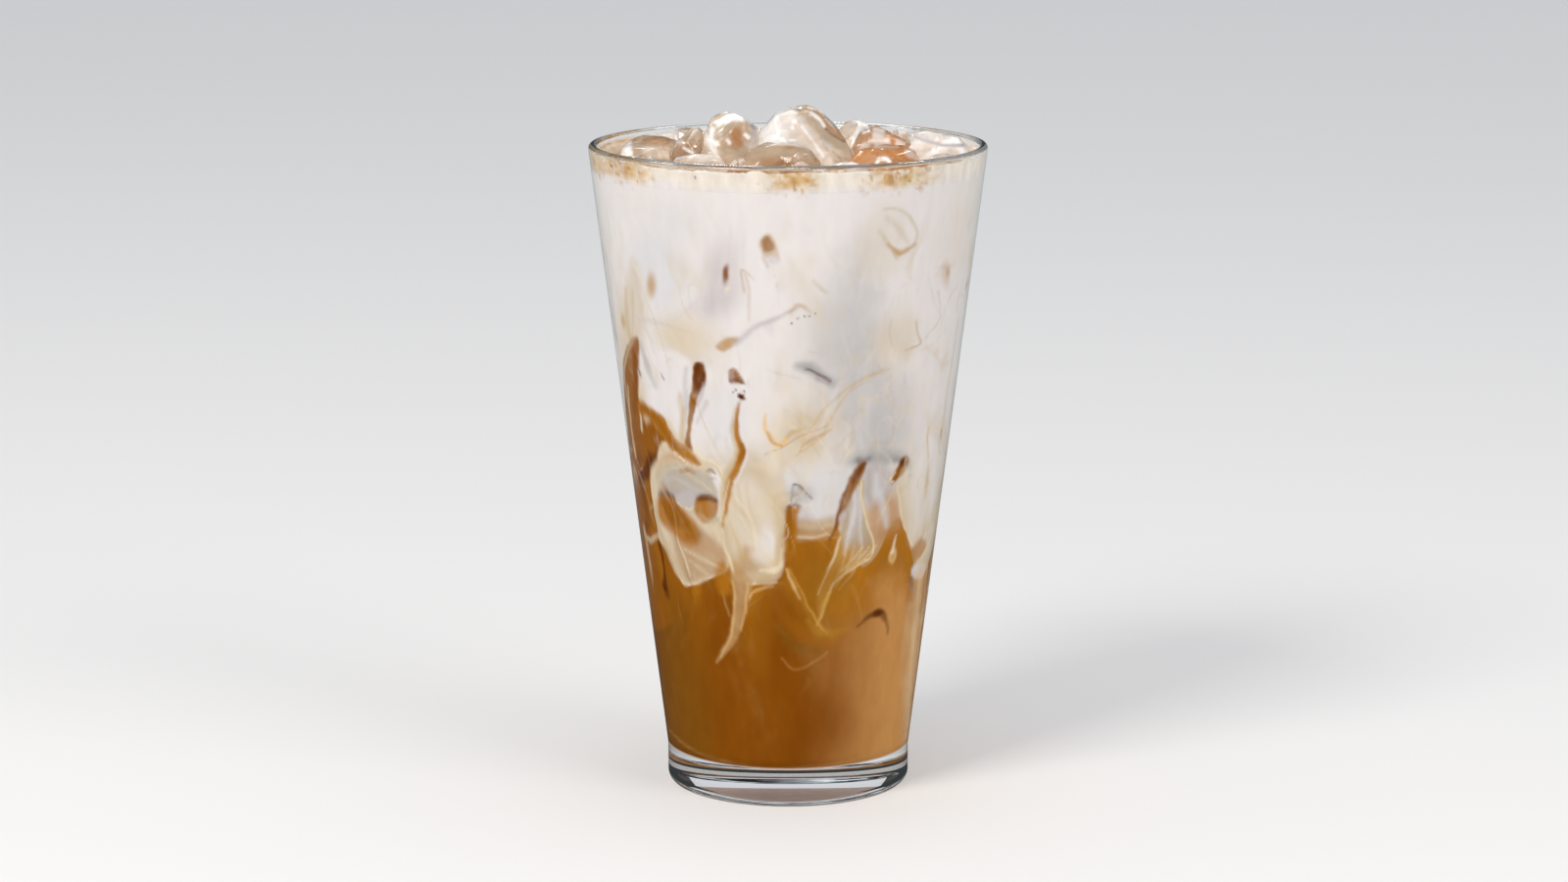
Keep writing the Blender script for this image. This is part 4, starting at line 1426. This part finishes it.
# Small chips that lie on the chunks: places across and back in mm, and sizes
CHIPS = (
    (1.5, -25.5, 2.0), (3.6, -27, 1.4), (5.6, -26, 2.4), (-2, -28, 1.3), (-12, -20, 2.6), (-10, -22.5, 1.8),
    (-14.5, -17.5, 1.6), (20, -22, 1.5), (12, -26.5, 1.8), (-6, -27.5, 1.3), (7.5, -24, 1.5), (-17, -21, 1.5),
    (24, 4, 1.6), (-21, 8, 2.0), (2, 22, 2.2), (-8, 26, 1.8), (16, 10, 1.6), (-30, -14, 1.5),
)


def rest_height(pieces, x, y):
    """The top of the pieces under a place, in mm."""
    top = FROTH_TOP
    for piece in pieces:
        hit, spot = piece.ray_cast(Vector((x * MM, y * MM, 0.2)), Vector((0, 0, -1)))[:2]
        if hit:
            top = max(top, spot.z / MM)
    return top


def make_chip(middle, size, draw):
    """A clear sliver of ice: a ball cut by flat faces."""
    deselect()
    bpy.ops.mesh.primitive_ico_sphere_add(subdivisions=3, radius=size / 2, location=middle)
    chip = bpy.context.object
    chip.scale = (1.3, 1, 0.8)
    chip.rotation_euler = draw.random(3) * 6
    settle()
    for _ in range(6):
        normal = Vector(draw.normal(size=3)).normalized()
        cut_face(middle + normal * size * (0.2 + 0.12 * draw.random()), normal)
    return chip


def make_chips(pieces, material, seed=5):
    """The slivers that rest on the chunks, as one piece."""
    draw = np.random.default_rng(seed)
    chips = []
    for x, y, size in CHIPS:
        z = rest_height(pieces, x, y) + size * 0.2
        chips.append(make_chip(Vector((x, y, z)) * MM, size * MM, draw))
    piece = join(chips)
    piece.name = piece.data.name = "ice_chips"
    points = points_of(piece)
    film = 0.35 + 0.4 * layered_noise(points, 2, 211, 2)
    set_colour(piece, "ice_colour", np.broadcast_to(ICE_WHITE, (len(points), 3)))
    set_amount(piece, "ice_film", np.clip(film, 0.1, 0.9))
    return finish_piece(piece, None, material, 25)


# The froth: a thin bubbly layer with a collar that clings to the glass
FROTH_CENTRE = 0.6
FROTH_DISC_GAP = 3
FROTH_ROWS = 74


def froth_profile():
    edge = inner_radius(FROTH_EDGE)
    under = [(i * 5, MILK_TOP - INTO_WALL) for i in range(8)] + [(MILK_TOP_RADIUS, MILK_TOP - INTO_WALL)]
    slope = [(edge - FROTH_COLLAR_WIDTH, FROTH_EDGE - INTO_WALL)]
    skin = INTO_WALL + 0.03
    outer = [(inner_radius(FROTH_EDGE - 2.5), FROTH_EDGE - 2.5)]
    outer += [(inner_radius(z) + skin, z) for z in np.linspace(FROTH_EDGE - 0.8, FROTH_COLLAR_TOP, 14)]
    inner_r = inner_radius(FROTH_COLLAR_TOP) - FROTH_COLLAR_WIDTH
    inner = [(inner_r + 0.9, FROTH_COLLAR_TOP), (inner_r + 0.3, FROTH_COLLAR_TOP - 0.5)]
    climbs = (1 - np.linspace(0, 1, 10)) ** 2
    bowl = [(edge - 2 + 0.9 * climb, FROTH_TOP + 0.4 + 2.6 * climb) for climb in climbs]
    disc = [(edge - FROTH_DISC_GAP, FROTH_TOP), (FROTH_CENTRE, FROTH_TOP), (0, FROTH_TOP)]
    return under + slope + outer + inner + bowl + disc


def make_froth(material, cutter):
    piece = draw_profile("froth_layer", [(float(r), float(z)) for r, z in froth_profile()])
    spin_round(piece, TURNS)
    disc_edge = float(inner_radius(FROTH_EDGE)) - FROTH_DISC_GAP
    add_rows(piece, (disc_edge, FROTH_TOP), (FROTH_CENTRE, FROTH_TOP), FROTH_ROWS)
    points = points_of(piece)
    raised = smooth(FROTH_TOP - 0.6, FROTH_TOP - 0.1, points[:, 2])
    inner_side = radius_of(points) < inner_radius(points[:, 2]) - 0.05
    bubbles = layered_noise(points, 1.5, 61, 2) * 0.3 + layered_noise(points, 6, 62, 2) * 0.4
    points[:, 2] += np.where(inner_side, raised * bubbles, 0)
    ragged = smooth(FROTH_EDGE + 1.5, FROTH_COLLAR_TOP, points[:, 2])
    around = points * [1, 1, 0]
    torn = 0.5 + 0.35 * layered_noise(around, 5, 63, 2) + 0.3 * layered_noise(around, 1.2, 64, 2)
    points[:, 2] -= ragged * torn
    set_points(piece, points)
    cut_with(piece, cutter)
    set_colour(piece, "froth_colour", froth_colours(points_of(piece)))
    return finish_piece(piece, "froth", material, 60)


def froth_colours(points):
    """Colours for the points of the froth: its band on the glass, and beige froth and caramel on top."""
    side = Painting(points, 0.2, 9)
    side.colours = drink_colours(points, MILK)
    top = 1 - smooth(-1.0, -0.3, radius_of(points) - inner_radius(points[:, 2]))
    wide = layered_noise(points, 11, 81)
    fine = layered_noise(points, 2.1, 82)
    side.fill(FROTH_BEIGE, top)
    side.fill(FROTH_CARAMEL, top * smooth(-0.1, 0.5, wide + 0.3 * fine))
    side.fill(FROTH_PALE, top * 0.7 * smooth(0.2, 0.7, fine - 0.5 * wide))
    return side.colours


def make_film(material):
    """The thin film that milk has left on the inside of the glass, at the sides and back above the froth."""
    low, high = FROTH_COLLAR_TOP - 1.2, GLASS_HEIGHT - WALL_AT_RIM / 2
    heights = np.linspace(low, high, 8)
    outer = [(float(inner_radius(z)) + 0.02, float(z)) for z in heights]
    inner = [(r - 0.07, z) for r, z in reversed(outer)]
    piece = draw_profile("milk_film", outer + inner + outer[:1])
    spin_round(piece, [(360, 360)])
    points = points_of(piece)
    angle = abs(angle_of(points))
    height = (points[:, 2] - low) / (high - low)
    around = points * [1, 1, 0.5]
    there = smooth(62, 96, angle) * (1 - smooth(0.82, 1, height))
    runs = layered_noise(around, 4, 201, 3) + 0.6 * layered_noise(points, 1.2, 205, 2)
    film = there * np.clip(0.7 + 0.6 * runs, 0.15, 1)
    set_amount(piece, "film", film)
    return finish_piece(piece, None, material, 60)


# The stage: a pale floor, soft light and the photograph's camera, in metres
FLOOR_SIZE = 9
FLOOR_COLOUR = (0.84, 0.83, 0.81)
BLACK = (0, 0, 0)
WHITE = (1, 1, 1)
LEVEL = (0, 0, 0)
UPRIGHT = (0, math.pi / 2, 0)
DOME_RADIUS = 5
TABLE_SIZE = 8
DARK_CARD_SIZE = (0.5, 1.2)
DARK_CARD_SIDE = 0.55
RING_RADIUS = 0.22
RING_FOOT = 0.012
RING_TOP = 0.06
SKY_COLOUR = (0.93, 0.95, 1, 1)
SKY_STRENGTH = 0.74
LAMP_TARGET = (0, 0, 0.08)
# Small bright cards that make glints on the ice: a place, a size and a strength
GLINT_CARDS = (
    ((-0.1, 0.42, 0.62), 0.12, 18), ((0.3, 0.3, 0.66), 0.09, 18), ((-0.45, 0.05, 0.6), 0.14, 20),
    ((0.05, -0.25, 0.85), 0.12, 18),
)
GLINT_TARGET = (0, 0, 0.15)


def add_plane(name, size, location, rotation, colour):
    deselect()
    bpy.ops.mesh.primitive_plane_add(size=1, location=location, rotation=rotation)
    card = bpy.context.object
    card.name = name
    card.scale = (size[0], size[1], 1)
    material, _, _, shader = new_material(name)
    set_inputs(shader, {"Base Color": (*colour, 1), "Roughness": 0.8, "Specular IOR Level": 0.1})
    card.data.materials.append(material)
    return card


def add_dome():
    deselect()
    bpy.ops.mesh.primitive_uv_sphere_add(radius=DOME_RADIUS, location=(0, 0, 0))
    dome = bpy.context.object
    dome.name = "dark_room"
    return dome


def add_ring():
    """An upright band round the glass, open above and below."""
    deselect()
    middle = (0, 0, (RING_FOOT + RING_TOP) / 2)
    bpy.ops.mesh.primitive_cylinder_add(
        vertices=96, radius=RING_RADIUS, depth=RING_TOP - RING_FOOT, end_fill_type="NOTHING", location=middle)
    ring = bpy.context.object
    ring.name = "dark_ring"
    return ring


def only_reflected(card, material):
    """Gives a card its material, and hides it from all that isn't a reflection."""
    card.data.materials.clear()
    card.data.materials.append(material)
    for ray in ("camera", "diffuse", "transmission", "shadow", "volume_scatter"):
        setattr(card, "visible_" + ray, False)


def add_dark_room():
    """A dark dome, table and cards that reflections see, and a streaky ring seen through the glass."""
    dome = add_dome()
    table = add_plane("dark_table", (TABLE_SIZE, TABLE_SIZE), (0, 0, 0.0004), LEVEL, BLACK)
    left = add_plane("dark_card_left", DARK_CARD_SIZE, (-DARK_CARD_SIDE, 0.02, 0.42), UPRIGHT, BLACK)
    right = add_plane("dark_card_right", DARK_CARD_SIZE, (DARK_CARD_SIDE, 0.02, 0.42), UPRIGHT, BLACK)
    ring = add_ring()
    gloom = dark_material("dark_room")
    only_reflected(left, gloom)
    only_reflected(right, gloom)
    only_reflected(dome, dark_material("dark_dome", 0.06, 1.5, DOME_RADIUS))
    only_reflected(table, dark_material("dark_table_top", 0.35, 0.1 / TABLE_SIZE, 0.6 / TABLE_SIZE))
    only_reflected(ring, streaky_material("streaky_ring"))
    for card in (left, right, ring):
        card.visible_transmission = True
    ring.visible_glossy = False


def add_glints():
    for index, (place, size, strength) in enumerate(GLINT_CARDS):
        name = "bright_card_%d" % index
        card = add_plane(name, (size, size), place, LEVEL, WHITE)
        material, _, _, glow = shining_material(name + "_glow", WHITE)
        set_inputs(glow, {"Strength": strength})
        only_reflected(card, material)
        card.rotation_euler = (Vector(place) - Vector(GLINT_TARGET)).to_track_quat("Z", "Y").to_euler()


def add_sky():
    world = bpy.data.worlds.new("pale_studio")
    bpy.context.scene.world = world
    world.use_nodes = True
    set_inputs(world.node_tree.nodes["Background"], {"Color": SKY_COLOUR, "Strength": SKY_STRENGTH})


def add_lamp(name, location, size, power, colour):
    light = bpy.data.lights.new(name, "AREA")
    light.shape = "RECTANGLE"
    light.size = light.size_y = size
    light.energy = power
    light.color = colour
    lamp = bpy.data.objects.new(name, light)
    bpy.context.collection.objects.link(lamp)
    lamp.location = location
    lamp.rotation_euler = (Vector(LAMP_TARGET) - Vector(location)).to_track_quat("-Z", "Y").to_euler()


def add_camera():
    data = bpy.data.cameras.new("camera")
    camera = bpy.data.objects.new("camera", data)
    bpy.context.collection.objects.link(camera)
    camera.location = (0, -0.900, 0.2497)
    camera.rotation_euler = (math.radians(79.22), 0, 0)
    data.sensor_width = 36
    data.lens = 93.15
    data.shift_x = -0.0026
    data.clip_start = 0.01
    bpy.context.scene.camera = camera


bpy.context.scene.view_settings.view_transform = "Standard"
add_camera()
add_plane("floor", (FLOOR_SIZE, FLOOR_SIZE), (0, 0, 0), LEVEL, FLOOR_COLOUR)
add_dark_room()
add_glints()
add_sky()
add_lamp("key_light", (-0.75, -0.85, 1.05), 0.5, 11, (1, 0.97, 0.93))
add_lamp("fill_light", (0.9, -0.7, 0.7), 0.6, 4.2, (1, 0.98, 0.97))
make_glass(glass_material())
ice_cutter = make_cutter()
make_coffee(painted_material("milky_coffee", "drink_colour", 0.4, 0))
make_milk(painted_material("sinking_milk", "drink_colour", 0.4, 0, 0.025), ice_cutter)
make_froth(painted_material("coffee_froth", "froth_colour", 0.35, 0.4, 0.1, 0.5), ice_cutter)
bpy.data.objects.remove(ice_cutter)
melting_ice = ice_material()
chunks = [make_ice(ice_node, melting_ice) for ice_node in ICE_NODES]
make_chips(chunks, melting_ice)
make_film(film_material())
